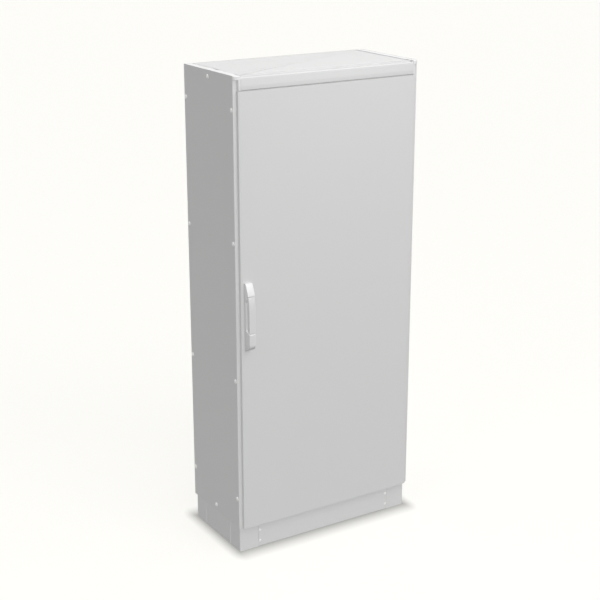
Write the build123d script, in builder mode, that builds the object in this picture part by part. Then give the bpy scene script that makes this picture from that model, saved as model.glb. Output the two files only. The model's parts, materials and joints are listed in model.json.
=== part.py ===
"""Floor-standing roadside control cabinet: sheet steel body on a plinth, one door hung on the right,
swing handle driving two lock rods through a pinion and racks.

Millimetres, +Z up. The origin is the middle of the plinth on the floor, and the door faces -Y.
"""
from build123d import *
from math import acos, atan2, cos, degrees, pi, radians, sin, sqrt, tan
import os

os.makedirs("parts", exist_ok=True)

# Driving sizes of the body
width = 816.0
body_depth = 378.0
height = 1900.0
sheet = 1.5
fit = 0.2
bend_radius = 2.0

# Driving sizes of the plinth
plinth_height = 108.0
plinth_width = 800.0
plinth_depth = 366.0
plinth_setback = 10.0
plinth_corner_x = 87.0
plinth_corner_y = 81.0
plinth_corner_sheet = 3.0
plinth_panel_sheet = 2.0
plinth_joint = 1.0
plinth_tab = 10.0
plinth_flange = 4.0
panel_lip = 14.0
floor_hole_radius = 7.0
floor_hole_inset_x = 45.0
floor_hole_inset_y = 40.0
base_bolt_radius = 5.0
base_bolt_inset_x = 62.0
base_bolt_inset_y = 62.0
panel_screw_radius = 4.0
panel_screw_low = 24.0
panel_screw_high = 71.0

# Driving sizes of the door frame
edge_strip = 14.0
lock_channel = 8.0
hinge_channel = 22.0
end_channel = 14.0
channel_depth = 10.0
rib_proud = 6.2
wall_depth = 30.0
frame_top_gap = 55.0

# Driving sizes of the door
door_proud = 15.0
door_side_gap = 0.8
door_bottom_gap = 2.0
door_top_gap = 4.0
door_frame_gap = 1.0
door_bevel_width = 9.0
door_bevel_depth = 2.5
door_lip = 9.0
door_lip_left = 6.0
gasket_width = 12.0
gasket_gap = 0.3

# Driving sizes of the top
fascia_height = 49.7
fascia_lip = 16.0
fascia_slope_back = 10.4
fascia_round = 5.5
fascia_sheet = 1.8
fascia_back_gap = 0.2
cap_width = 22.0
cap_height = 14.0
cap_length = 36.0
cap_round = 1.5
rail_width = 28.2
rail_height = 40.0
rail_inner_web = 19.0
rail_ledge = 16.0
roof_drop = 1.0
roof_notch_shares = (0.08, 0.5, 0.97)
roof_notch_length = 7.0
roof_notch_width = 3.0
roof_notch_depth = 5.0

# Driving sizes of the panel screws
side_screw_inset = 12.0
side_screw_shares = (-0.86, -0.305, 0.305, 0.86)
side_screw_length = 9.0
side_end_inset = 26.0
side_screw_head = 8.0
side_screw_rise = 3.0
side_screw_shank = 3.0
side_screw_hole = 3.3
rear_screw_inset = 22.0

# Driving sizes of the hinges
hinge_inset = 8.0
hinge_depth = 7.5
hinge_knuckle_radius = 4.0
hinge_pin_radius = 2.5
hinge_knuckle = 24.0
hinge_height = 60.0
hinge_foot_height = 50.0
hinge_arm = 3.0
hinge_gap = 0.3
hinge_shares = (0.11, 0.5, 0.89)
hinge_foot_sheet = 2.5
hinge_foot_inset = 7.0
hinge_head_proud = 1.3
hinge_head_rise = 1.5
hinge_screw_radius = 2.5
leaf_front = 6.9
leaf_back = 2.0
leaf_relief = 9.0
hinge_notch = 4.0
hinge_notch_end = 3.0

# Driving sizes of the handle
handle_inset = 40.0
handle_width = 27.4
handle_base_depth = 12.8
handle_depth = 40.6
spindle_height = 1095.0
handle_below = 238.0
handle_above = 29.0
spindle_side = 8.0
lever_depth = 16.6
lever_pivot_drop = 23.0
lever_pin_radius = 2.0
lever_reach = 162.0
lever_slant = 13.0
lever_fork = 9.6
lever_gap = 2.0
lock_nose_rise = 29.0
insert_radius = 7.0
insert_length = 14.0
spindle_hole = 6.3
handle_screw_radius = 2.5
handle_round = 3.0
handle_screw_rise = 36.0
handle_screw_drop = 52.0
handle_screw_length = 8.0
head_edge = 2.0
head_lap_drop = 6.0
head_foot_drop = 16.0
head_back_in = 7.0
head_back_drop = 17.0
seam_rise = 3.0
seam_angle = radians(45)
spindle_seat = 12.0
seat_play = 0.04
lever_pin_inset = 1.7
insert_share = 0.53
tongue_radius = 7.0
insert_play = 0.05
key_recess_radius = 4.5
key_recess_depth = 6.0
key_pin_radius = 1.5
key_slot = 3.0

# Driving sizes of the rack and pinion lock
tooth_module = 1.5
pinion_teeth = 10
pressure_angle = radians(25.0)
pinion_addendum = 1.35
pinion_dedendum = 1.9
rack_addendum = 1.2
rack_dedendum = 1.8
tooth_backlash = 0.08
rack_spaces = 7
rod_width = 8.0
rod_thickness = 5.0
rod_standoff = 14.5
rod_play = 0.3
rod_end_gap = 1.0
keeper_leg = 23.0
keeper_sheet = 2.5
keeper_half = 6.0
keeper_gap = 0.5
keeper_reach = 30.0
case_height = 70.0
case_wall = 1.2
case_plate = 3.0
case_cover = 1.5
case_pad_width = 23.0
case_pad_shift = 1.5
guide_stem_start = 4.5
guide_shares = (0.13, 0.5, 0.9)
guide_wall = 2.0
guide_height = 12.0
guide_stem = 10.0

# Driving sizes of the inside
base_height = 42.0
base_sheet = 2.0
base_rim = 28.0
post_side = 28.0
cable_opening_inset_x = 100.0
cable_opening_inset_y = 78.0
gland_overlap = 22.0
gland_sheet = 2.0
grommet_radius = 19.0
grommet_count = 9
plate_side_gap = 63.0
plate_bottom_gap = 92.0
plate_top_gap = 110.0
plate_back_gap = 60.0
plate_sheet = 2.5
plate_fold = 12.0
bracket_sheet = 2.0
bracket_bolt_radius = 3.0
component_rail_inset = 25.0
component_rail_depth = 6.5
component_rail_half = 17.5
component_rail_base = 12.5
component_rail_sheet = 1.0
earth_bar_rise = 100.0
earth_bar_length = 360.0
earth_bar_height = 12.0
earth_bar_sheet = 4.0
earth_bar_standoff = 12.0
cable_rail_back_gap = 105.0
cable_rail_half = 15.0
cable_rail_height = 18.0
cable_rail_lip = 6.0
rear_rail_height = 34.0
rear_rail_depth = 20.0
base_bolt_length = 22.0
bracket_half_height = 20.0
bracket_overlap = 20.0
bracket_rise = 60.0
bracket_bolt_inset = 10.0
bracket_bolt_length = 10.0
component_rail_shares = (0.264, 0.49, 0.717, 0.918)
stiffener_share = 0.306
stiffener_depth = 20.0
stiffener_sheet = 1.2
stiffener_end_gap = 90.0
stiffener_half = 14.0
stiffener_slope = 4.0
stiffener_flange = 16.0

# Places worked out from the sizes above
half = width / 2
front_y = -plinth_depth / 2 - plinth_setback
back_y = front_y + body_depth
door_y = front_y - door_proud
door_back = front_y - door_frame_gap
body_z = plinth_height
skin_in = door_y + sheet
skin_gap = sheet + fit

channel_left = -half + edge_strip
channel_right = half - edge_strip
channel_bottom = body_z + sheet
channel_top = height - frame_top_gap + sheet
wall_left = channel_left + lock_channel
wall_right = channel_right - hinge_channel
wall_bottom = channel_bottom + end_channel - sheet
wall_top = channel_top - end_channel
floor_y = front_y + channel_depth - sheet

door_left = channel_left + door_side_gap
door_right = channel_right - door_side_gap
door_bottom = body_z + door_bottom_gap
door_top = height - frame_top_gap - sheet
fascia_bottom = door_top + door_top_gap
fascia_top = fascia_bottom + fascia_height

side_middle = (front_y + back_y) / 2
side_center = (body_z + height) / 2
screw_rows = [side_center + share * (height - body_z) / 2 for share in side_screw_shares]

hinge_rows = [door_bottom + share * (door_top - door_bottom) for share in hinge_shares]
hinge_x = door_right - hinge_inset
hinge_y = door_y + hinge_depth
handle_x = -half + handle_inset
handle_bottom = spindle_height - handle_below
handle_top = spindle_height + handle_above
lever_pivot_height = spindle_height - lever_pivot_drop
lever_bottom = spindle_height - lever_reach
lock_nose = handle_bottom + lock_nose_rise
pitch_radius = tooth_module * pinion_teeth / 2
tooth_pitch = pi * tooth_module
rod_front = skin_in + rod_standoff
rod_back = rod_front + rod_thickness
rod_near = pitch_radius - rack_addendum
rod_far = rod_near + rod_width
rod_travel = pitch_radius * pi / 2
lever_mid = handle_depth - lever_depth / 2
lever_back = handle_depth - lever_depth

cable_opening_x = plinth_width - 2 * cable_opening_inset_x
cable_opening_y = plinth_depth - 2 * cable_opening_inset_y
plate_width = width - 2 * plate_side_gap
plate_bottom = body_z + plate_bottom_gap
plate_top = height - plate_top_gap
plate_front = back_y - plate_back_gap
stiffener_offset = width * stiffener_share
stiffener_bottom = door_bottom + stiffener_end_gap
stiffener_top = door_top - stiffener_end_gap


def facing(y):
    """A plane that faces the front, at depth y: sketch x is +X and sketch y is +Z."""
    return Plane.XZ.offset(-y)


def pane(x0, x1, y0, y1, mode=Mode.ADD):
    """Adds a rectangle between two corners to the open sketch."""
    with Locations(((x0 + x1) / 2, (y0 + y1) / 2)):
        Rectangle(x1 - x0, y1 - y0, mode=mode)


def folded(points, thickness=sheet, radius=bend_radius):
    """The section of a sheet folded along the points, with its thickness on the left of the path."""
    with BuildSketch() as section:
        with BuildLine():
            path = FilletPolyline(*points, radius=radius)
            offset(path, amount=thickness, side=Side.LEFT)
        make_face()
    return section.sketch


def side_pattern(radius):
    """The screw pattern of a side panel, as a sketch with x along the depth and y upward."""
    with BuildSketch() as pattern:
        for y in (front_y + side_screw_inset, back_y - side_screw_inset):
            with Locations(*[(y, z) for z in screw_rows]):
                Circle(radius)
        with Locations((side_middle, body_z + side_end_inset), (side_middle, height - side_end_inset)):
            Circle(radius)
    return pattern.sketch


def domed_screw(head, rise, shank, length):
    """A screw with a domed head that sits on the origin and points up, its shank going down."""
    dome = (head * head + rise * rise) / (2 * rise)
    middle = (head / 2, sqrt(dome * dome - head * head / 4) - dome + rise)
    with BuildPart() as screw:
        with BuildSketch(Plane.XZ):
            with BuildLine():
                ThreePointArc((head, 0), middle, (0, rise))
                Polyline((0, rise), (0, -length), (shank, -length), (shank, 0), (head, 0))
            make_face()
        revolve(axis=Axis.Z)
    return screw.part


def hex_bolt(shank, length):
    """A hexagon bolt with a washer that sits on the origin, its head up and its shank going down."""
    with BuildPart() as bolt:
        with BuildSketch():
            Circle(2 * shank)
        extrude(amount=0.3 * shank)
        with BuildSketch(Plane.XY.offset(0.3 * shank)):
            RegularPolygon(1.8 * shank, 6)
        extrude(amount=1.3 * shank)
        with BuildSketch():
            Circle(shank)
        extrude(amount=-length)
    return bolt.part


def save(piece, label):
    """Names a finished piece and writes it."""
    piece.label = label
    export_step(piece, f"parts/{label}.step")


def corner_of(piece, side, end):
    """The piece of the left front corner, carried to another corner by mirroring."""
    moved = piece if side == "left" else mirror(piece, about=Plane.YZ)
    return moved if end == "front" else mirror(moved, about=Plane.XZ)


# Plinth corner pieces: a folded angle with a joggled tab behind each panel, and a foot and a head flange
plinth_left = -plinth_width / 2
plinth_front = -plinth_depth / 2
joggle = plinth_panel_sheet + fit
panel_run_x = plinth_width / 2 - plinth_corner_x
panel_run_y = plinth_depth / 2 - plinth_corner_y
screw_x = panel_run_x - plinth_tab / 2
with BuildPart() as plinth_corner:
    with BuildSketch():
        add(folded(
            [
                (plinth_left + joggle, plinth_front + plinth_corner_y + plinth_tab),
                (plinth_left + joggle, plinth_front + plinth_corner_y - plinth_joint),
                (plinth_left, plinth_front + plinth_corner_y - plinth_joint - joggle),
                (plinth_left, plinth_front),
                (plinth_left + plinth_corner_x - plinth_joint - joggle, plinth_front),
                (plinth_left + plinth_corner_x - plinth_joint, plinth_front + joggle),
                (plinth_left + plinth_corner_x + plinth_tab, plinth_front + joggle),
            ],
            plinth_corner_sheet,
            [0.8, 0.8, 5.0, 0.8, 0.8],
        ))
    extrude(amount=plinth_height)
    for level in (0, plinth_height - plinth_flange):
        with BuildSketch(Plane.XY.offset(level)):
            pane(
                plinth_left + plinth_corner_sheet,
                plinth_left + plinth_corner_x - plinth_joint - joggle,
                plinth_front + plinth_corner_sheet,
                plinth_front + plinth_corner_y - plinth_joint - joggle,
            )
        extrude(amount=plinth_flange)
    with BuildSketch():
        with Locations((plinth_left + floor_hole_inset_x, plinth_front + floor_hole_inset_y)):
            Circle(floor_hole_radius)
    extrude(amount=plinth_flange, mode=Mode.SUBTRACT)
    with BuildSketch(Plane.XY.offset(plinth_height - plinth_flange)):
        with Locations((plinth_left + base_bolt_inset_x, plinth_front + base_bolt_inset_y)):
            Circle(base_bolt_radius + fit)
    extrude(amount=plinth_flange, mode=Mode.SUBTRACT)
    with BuildSketch(facing(plinth_front)):
        with Locations((-screw_x, panel_screw_low), (-screw_x, panel_screw_high)):
            Circle(panel_screw_radius / 2 + fit)
    extrude(amount=-2 * plinth_corner_sheet, mode=Mode.SUBTRACT)
for end in ("front", "rear"):
    for side in ("left", "right"):
        save(corner_of(plinth_corner.part, side, end), f"plinth_corner_{end}_{side}")

# Plinth panels: a folded channel between two corner pieces, lying on their tabs
with BuildPart() as plinth_front_panel:
    with BuildSketch(Plane.YZ.offset(-panel_run_x)):
        add(folded(
            [
                (plinth_front + panel_lip, plinth_height - 1),
                (plinth_front, plinth_height - 1),
                (plinth_front, 0),
                (plinth_front + panel_lip, 0),
            ],
            plinth_panel_sheet,
        ))
    extrude(amount=2 * panel_run_x)
    with BuildSketch(facing(plinth_front + joggle)):
        for x in (-screw_x, screw_x):
            for z in (panel_screw_low, panel_screw_high):
                with Locations((x, z)):
                    Circle(panel_screw_radius * 0.6)
    extrude(amount=3 * joggle, both=True, mode=Mode.SUBTRACT)
    for sign in (-1, 1):
        with BuildSketch(Plane.XY):
            pane(
                min(sign * panel_run_x, sign * (panel_run_x - plinth_tab)),
                max(sign * panel_run_x, sign * (panel_run_x - plinth_tab)),
                plinth_front + joggle - fit,
                plinth_front + panel_lip + 1,
            )
        extrude(amount=plinth_height, mode=Mode.SUBTRACT)
save(plinth_front_panel.part, "plinth_panel_front")
save(mirror(plinth_front_panel.part, about=Plane.XZ), "plinth_panel_rear")

with BuildPart() as plinth_side_panel:
    with BuildSketch(Plane.XZ.offset(-panel_run_y)):
        add(folded(
            [
                (plinth_left + panel_lip, plinth_height - 1),
                (plinth_left, plinth_height - 1),
                (plinth_left, 0),
                (plinth_left + panel_lip, 0),
            ],
            plinth_panel_sheet,
        ))
    extrude(amount=2 * panel_run_y)
    for sign in (-1, 1):
        with BuildSketch(Plane.XY):
            pane(
                plinth_left + joggle - fit,
                plinth_left + panel_lip + 1,
                min(sign * panel_run_y, sign * (panel_run_y - plinth_tab)),
                max(sign * panel_run_y, sign * (panel_run_y - plinth_tab)),
            )
        extrude(amount=plinth_height, mode=Mode.SUBTRACT)
save(plinth_side_panel.part, "plinth_panel_left")
save(mirror(plinth_side_panel.part, about=Plane.YZ), "plinth_panel_right")

# Plinth panel screws: domed heads on the front and rear panels, two above each other at each end
plinth_screw = domed_screw(panel_screw_radius, 1.6, panel_screw_radius / 2, 7)
with BuildPart() as plinth_panel_screws:
    with Locations(*[
        Location((x, end * plinth_front, z), (end * 90, 0, 0))
        for end in (-1, 1)
        for x in (-screw_x, screw_x)
        for z in (panel_screw_low, panel_screw_high)
    ]):
        add(plinth_screw)
save(plinth_panel_screws.part, "plinth_panel_screws")

# Base frame: a folded ring beam with a floor, a rim that the posts stand on, and a cable opening
base_left = -half + skin_gap
base_front = front_y + channel_depth
base_back = back_y - skin_gap
base_top = body_z + base_height
with BuildPart() as base_frame:
    with BuildSketch(Plane.XY.offset(body_z)):
        pane(base_left, -base_left, base_front, base_back)
    extrude(amount=base_height)
    with BuildSketch(Plane.XY.offset(body_z + base_sheet)):
        pane(
            base_left + base_sheet,
            -base_left - base_sheet,
            base_front + base_sheet,
            base_back - base_sheet,
        )
    extrude(amount=base_height - 2 * base_sheet, mode=Mode.SUBTRACT)
    with BuildSketch(Plane.XY.offset(base_top)):
        pane(
            base_left + base_rim,
            -base_left - base_rim,
            base_front,
            base_back - base_rim,
        )
    extrude(amount=-base_sheet, mode=Mode.SUBTRACT)
    with BuildSketch(Plane.XY.offset(wall_bottom - sheet - fit)):
        pane(-half, half, base_front - 1, front_y + wall_depth + 1)
    extrude(amount=base_height, mode=Mode.SUBTRACT)
    with BuildSketch(Plane.XY.offset(body_z)):
        RectangleRounded(cable_opening_x, cable_opening_y, 12)
        with GridLocations(
            plinth_width - 2 * base_bolt_inset_x, plinth_depth - 2 * base_bolt_inset_y, 2, 2
        ):
            Circle(base_bolt_radius + fit)
    extrude(amount=base_sheet, mode=Mode.SUBTRACT)
    with BuildSketch(Plane.YZ.offset(-half)):
        add(side_pattern(side_screw_hole))
    extrude(amount=width, mode=Mode.SUBTRACT)
save(base_frame.part, "base_frame")

# Base bolts: hexagon bolts that clamp the base frame to the plinth corners
base_bolt = hex_bolt(base_bolt_radius, base_bolt_length)
with BuildPart() as base_bolts:
    with GridLocations(
        plinth_width - 2 * base_bolt_inset_x, plinth_depth - 2 * base_bolt_inset_y, 2, 2
    ):
        with Locations((0, 0, body_z + base_sheet)):
            add(base_bolt)
save(base_bolts.part, "base_bolts")

# Gland plate: closes the cable opening, with a row of membrane grommets and six screws
gland_z = body_z + base_sheet
gland_x = cable_opening_x / 2 + gland_overlap
gland_y = cable_opening_y / 2 + gland_overlap
grommet_pitch = cable_opening_x / (grommet_count + 1)
grommet_spots = [((i - (grommet_count - 1) / 2) * grommet_pitch, 0) for i in range(grommet_count)]
gland_screws_at = [(x * (gland_x - 10), y * (gland_y - 10)) for x in (-1, 0, 1) for y in (-1, 1)]
with BuildPart() as gland_plate:
    with BuildSketch(Plane.XY.offset(gland_z)):
        RectangleRounded(2 * gland_x, 2 * gland_y, 8)
        with Locations(*grommet_spots):
            Circle(grommet_radius, mode=Mode.SUBTRACT)
        with Locations(*gland_screws_at):
            Circle(3 + fit, mode=Mode.SUBTRACT)
    extrude(amount=gland_sheet)
save(gland_plate.part, "gland_plate")

with BuildPart() as cable_grommets:
    with BuildSketch(Plane.XZ):
        with BuildLine():
            Polyline(
                (0, gland_z + 6),
                (grommet_radius - 5, gland_z + 1),
                (grommet_radius - 4, gland_z + gland_sheet + 4),
                (grommet_radius + 4, gland_z + gland_sheet + 1.5),
                (grommet_radius + 4, gland_z + gland_sheet),
                (grommet_radius - fit, gland_z + gland_sheet),
                (grommet_radius - fit, gland_z - 1),
                (grommet_radius - 6, gland_z - 1),
                (0, gland_z + 4),
                close=True,
            )
        make_face()
    revolve(axis=Axis.Z)
    seal = cable_grommets.part
with BuildPart() as cable_grommets:
    with Locations(*grommet_spots):
        add(seal)
save(cable_grommets.part, "cable_grommets")

gland_screw = domed_screw(5.5, 2.6, 3, gland_sheet)
with BuildPart() as gland_screws:
    with Locations(*[(x, y, gland_z + gland_sheet) for x, y in gland_screws_at]):
        add(gland_screw)
save(gland_screws.part, "gland_screws")

# Door frame: four profiles with a rain channel, a sealing rib and an inner wall, butted at the corners
with BuildPart() as door_frame:
    with BuildSketch(facing(front_y + skin_gap)):
        pane(base_left, -base_left, body_z, height - rail_inner_web - fit)
        pane(channel_left, channel_right, body_z - 1, channel_top, mode=Mode.SUBTRACT)
    extrude(amount=sheet, dir=(0, 1, 0))
    with BuildSketch(facing(front_y + skin_gap)):
        pane(channel_left, channel_right, body_z, channel_top)
        pane(
            channel_left + sheet,
            channel_right - sheet,
            channel_bottom,
            channel_top - sheet,
            mode=Mode.SUBTRACT,
        )
    extrude(amount=channel_depth - skin_gap, dir=(0, 1, 0))
    with BuildSketch(facing(floor_y)):
        pane(channel_left, channel_right, body_z, channel_top)
        pane(wall_left, wall_right, wall_bottom, wall_top, mode=Mode.SUBTRACT)
    extrude(amount=sheet, dir=(0, 1, 0))
    with BuildSketch(facing(front_y - rib_proud)):
        pane(wall_left, wall_right, wall_bottom - sheet, wall_top + sheet)
        pane(wall_left + sheet, wall_right - sheet, wall_bottom, wall_top, mode=Mode.SUBTRACT)
    extrude(amount=rib_proud + wall_depth, dir=(0, 1, 0))
    with BuildSketch(facing(front_y + skin_gap)):
        pane(base_left, base_left + sheet, wall_bottom, height - rail_height)
        pane(-base_left - sheet, -base_left, wall_bottom, height - rail_height)
    extrude(amount=wall_depth - skin_gap, dir=(0, 1, 0))
    with BuildSketch(Plane.YZ.offset(-half)):
        add(side_pattern(side_screw_hole))
    extrude(amount=skin_gap + sheet + fit, mode=Mode.SUBTRACT)
    with BuildSketch(Plane.YZ.offset(half)):
        add(side_pattern(side_screw_hole))
    extrude(amount=-skin_gap - sheet - fit, mode=Mode.SUBTRACT)
butt_left = wall_left + sheet
butt_right = wall_right - sheet
for name, x0, x1, z0, z1 in (
    ("left", -half, butt_left, body_z, height),
    ("right", butt_right, half, body_z, height),
    ("bottom", butt_left, butt_right, body_z, side_center),
    ("top", butt_left, butt_right, side_center, height),
):
    with BuildPart() as frame_profile:
        add(door_frame.part)
        with BuildSketch(facing(front_y)):
            pane(x0, x1, z0, z1)
        extrude(amount=2 * wall_depth, both=True, mode=Mode.INTERSECT)
    save(frame_profile.part, f"door_frame_{name}")

# Rear corner posts: folded square tubes standing on the base rim, drilled for the side and rear panels
with BuildPart() as post:
    with BuildSketch(Plane.XY.offset(base_top)):
        with Locations((base_left + post_side / 2, base_back - post_side / 2)):
            RectangleRounded(post_side, post_side, bend_radius + 1)
            RectangleRounded(
                post_side - 2 * sheet, post_side - 2 * sheet, bend_radius, mode=Mode.SUBTRACT
            )
    extrude(amount=height - rail_height - base_top)
    with BuildSketch(Plane.YZ.offset(-half)):
        add(side_pattern(side_screw_hole))
    extrude(amount=skin_gap + post_side / 2, mode=Mode.SUBTRACT)
    with BuildSketch(facing(back_y)):
        with Locations(*[(-half + rear_screw_inset, z) for z in screw_rows]):
            Circle(side_screw_hole)
    extrude(amount=skin_gap + post_side / 2, mode=Mode.SUBTRACT)
save(post.part, "corner_post_rear_left")
save(mirror(post.part, about=Plane.YZ), "corner_post_rear_right")

# Top rear rail: a folded channel between the rear posts, under the roof plate
rail_reach = half - skin_gap - post_side
rail_top = height - rail_inner_web - sheet - fit
with BuildPart() as top_rear_rail:
    with BuildSketch(Plane.YZ.offset(-rail_reach)):
        add(folded([
            (base_back - rear_rail_depth, rail_top - rear_rail_height),
            (base_back, rail_top - rear_rail_height),
            (base_back, rail_top),
            (base_back - rear_rail_depth, rail_top),
        ]))
    extrude(amount=2 * rail_reach)
save(top_rear_rail.part, "top_rear_rail")

# Roof rails: folded strips along both top edges with a ledge inside for the roof plate
rail_start = front_y + skin_gap + sheet + fit
with BuildPart() as roof_rail:
    with BuildSketch(Plane.XZ.offset(-rail_start)):
        add(folded(
            [
                (-half + skin_gap + rail_width + rail_ledge, height - rail_inner_web),
                (-half + skin_gap + rail_width, height - rail_inner_web),
                (-half + skin_gap + rail_width, height),
                (-half + skin_gap, height),
                (-half + skin_gap, height - rail_height),
            ],
            sheet,
            [0.5, bend_radius, bend_radius],
        ))
    extrude(amount=-(base_back - rail_start))
    with BuildSketch(Plane.XY.offset(height - cap_height - fit / 2)):
        pane(-half, -half + rail_width + rail_ledge, rail_start - 1, front_y + cap_length + fit)
    extrude(amount=cap_height + 1, mode=Mode.SUBTRACT)
    with BuildSketch(Plane.YZ.offset(-half)):
        add(side_pattern(side_screw_hole))
    extrude(amount=skin_gap + sheet + fit, mode=Mode.SUBTRACT)
save(roof_rail.part, "roof_rail_left")
save(mirror(roof_rail.part, about=Plane.YZ), "roof_rail_right")

# Roof plate: a shallow pan between the roof rails, standing on their ledges, notched for its clips
roof_reach = half - skin_gap - rail_width - 4 * fit
roof_top = height - roof_drop
with BuildPart() as roof_plate:
    with BuildSketch(Plane.XY.offset(height - rail_inner_web)):
        pane(-roof_reach, roof_reach, front_y + 1, base_back)
    extrude(amount=rail_inner_web - roof_drop)
    fillet(roof_plate.faces().sort_by(Axis.Z)[-1].edges(), radius=bend_radius)
    with BuildSketch(Plane.XY.offset(height - rail_inner_web)):
        pane(-roof_reach + sheet, roof_reach - sheet, front_y + 1 + sheet, base_back - sheet)
    extrude(amount=rail_inner_web - roof_drop - sheet, mode=Mode.SUBTRACT)
    with Locations(*[
        (side * roof_reach, front_y + share * body_depth, roof_top)
        for side in (-1, 1)
        for share in roof_notch_shares
    ]):
        Box(2 * roof_notch_width, roof_notch_length, 2 * roof_notch_depth, mode=Mode.SUBTRACT)
save(roof_plate.part, "roof_plate")

# Roof corner caps: moulded pieces that round the front corners and reach down beside the fascia
cap_bottom = height - cap_height
tongue_left = -half + edge_strip + door_side_gap
with BuildPart() as corner_cap:
    with BuildSketch(Plane.XY.offset(cap_bottom)):
        with BuildLine():
            Bezier(
                (-half, front_y + 2),
                (-half, door_y + 3),
                (-half + 8, door_y),
                (-half + cap_width, door_y),
            )
            Polyline(
                (-half + cap_width, door_y),
                (-half + cap_width, front_y + 0.5),
                (-half + rail_width + skin_gap + fit, front_y + 0.5),
                (-half + rail_width + skin_gap + fit, front_y + cap_length),
                (-half + skin_gap, front_y + cap_length),
                (-half + skin_gap, front_y + 2),
                (-half, front_y + 2),
            )
        make_face()
    extrude(amount=cap_height)
    fillet(
        corner_cap.faces().sort_by(Axis.Z)[-1].edges().filter_by(GeomType.BEZIER), radius=cap_round
    )
    with BuildSketch(Plane.XY.offset(fascia_bottom)):
        with BuildLine():
            Polyline(
                (tongue_left, front_y + skin_gap - fit / 2),
                (tongue_left, door_y + door_bevel_depth),
                (-half + cap_width, door_y + fit),
                (-half + cap_width, front_y + skin_gap - fit / 2),
                close=True,
            )
        make_face()
    extrude(amount=cap_bottom - fascia_bottom)
save(corner_cap.part, "roof_corner_cap_left")
save(mirror(corner_cap.part, about=Plane.YZ), "roof_corner_cap_right")

# Fascia: the folded strip above the door, with an upright lip, a slope leaning back and a rounded top edge
fascia_reach = half - cap_width - fit
with BuildPart() as fascia:
    with BuildSketch(Plane.YZ.offset(-fascia_reach)):
        add(folded(
            [
                (front_y - fascia_back_gap, fascia_top),
                (door_y + fascia_slope_back, fascia_top),
                (door_y, fascia_bottom + fascia_lip),
                (door_y, fascia_bottom),
                (front_y + skin_gap - fit / 2, fascia_bottom),
            ],
            fascia_sheet,
            [fascia_round, 2.5, 2.5],
        ))
    extrude(amount=2 * fascia_reach)
save(fascia.part, "fascia")

# Side panels: plain sheets folded round the front and rear edges, drilled for the screws
with BuildPart() as side_panel:
    with BuildSketch(Plane.XY.offset(body_z)):
        add(folded([
            (-half + edge_strip, back_y),
            (-half, back_y),
            (-half, front_y),
            (-half + edge_strip, front_y),
        ]))
    extrude(amount=height - body_z)
    with BuildSketch(Plane.XY.offset(cap_bottom - fit / 2)):
        pane(-half - 1, -half + edge_strip + 1, front_y - 1, front_y + 2 + fit / 2)
    extrude(amount=cap_height + 1, mode=Mode.SUBTRACT)
    with BuildSketch(Plane.YZ.offset(-half)):
        add(side_pattern(side_screw_hole))
    extrude(amount=sheet + fit, mode=Mode.SUBTRACT)
save(side_panel.part, "side_panel_left")
save(mirror(side_panel.part, about=Plane.YZ), "side_panel_right")

# Side panel screws: large domed heads in two columns, with one more in the middle of both ends
side_screw = domed_screw(side_screw_head, side_screw_rise, side_screw_shank, side_screw_length)
side_screws_at = [
    (y, z) for y in (front_y + side_screw_inset, back_y - side_screw_inset) for z in screw_rows
] + [(side_middle, body_z + side_end_inset), (side_middle, height - side_end_inset)]
with BuildPart() as side_panel_screws:
    with Locations(*[
        Location((side * half, y, z), (0, side * 90, 0)) for side in (-1, 1) for y, z in side_screws_at
    ]):
        add(side_screw)
save(side_panel_screws.part, "side_panel_screws")

# Rear panel: a flat sheet between the rear folds of the side panels, screwed to the rear posts
rear_reach = half - edge_strip - 0.5
rear_screws_at = [(side * (half - rear_screw_inset), z) for side in (-1, 1) for z in screw_rows]
with BuildPart() as rear_panel:
    with BuildSketch(facing(back_y)):
        pane(-rear_reach, rear_reach, body_z, height - roof_drop)
        with Locations(*rear_screws_at):
            Circle(side_screw_hole, mode=Mode.SUBTRACT)
    extrude(amount=sheet)
save(rear_panel.part, "rear_panel")

with BuildPart() as rear_panel_screws:
    with Locations(*[Location((x, back_y, z), (-90, 0, 0)) for x, z in rear_screws_at]):
        add(side_screw)
save(rear_panel_screws.part, "rear_panel_screws")

# Hinge brackets: a knuckle on a tall arm, its foot screwed to the floor of the rain channel
hinge_foot = floor_y - hinge_foot_sheet
hinge_foot_right = channel_right - 2.0
hinge_foot_left = wall_right + 2.5
hinge_foot_middle = (hinge_foot_left + hinge_foot_right) / 2
fixed_knuckle = hinge_knuckle / 2 - hinge_gap
with BuildPart() as hinge_bracket:
    with BuildSketch():
        with Locations((hinge_x, hinge_y)):
            Circle(hinge_knuckle_radius)
        pane(
            hinge_x - hinge_knuckle_radius,
            hinge_x - hinge_knuckle_radius + hinge_arm,
            hinge_y,
            floor_y,
        )
        with Locations((hinge_x, hinge_y)):
            Circle(hinge_pin_radius + 0.02, mode=Mode.SUBTRACT)
    extrude(amount=fixed_knuckle, both=True)
    with BuildSketch(facing(hinge_foot)):
        with Locations((hinge_foot_middle, 0)):
            RectangleRounded(hinge_foot_right - hinge_foot_left, hinge_foot_height, 3)
            with GridLocations(0, hinge_foot_height - 2 * hinge_foot_inset, 1, 2):
                Circle(hinge_screw_radius + fit, mode=Mode.SUBTRACT)
    extrude(amount=hinge_foot - floor_y)
with BuildPart() as hinge_brackets:
    with Locations(*[(0, 0, z) for z in hinge_rows]):
        add(hinge_bracket.part)
save(hinge_brackets.part, "hinge_brackets")

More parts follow.
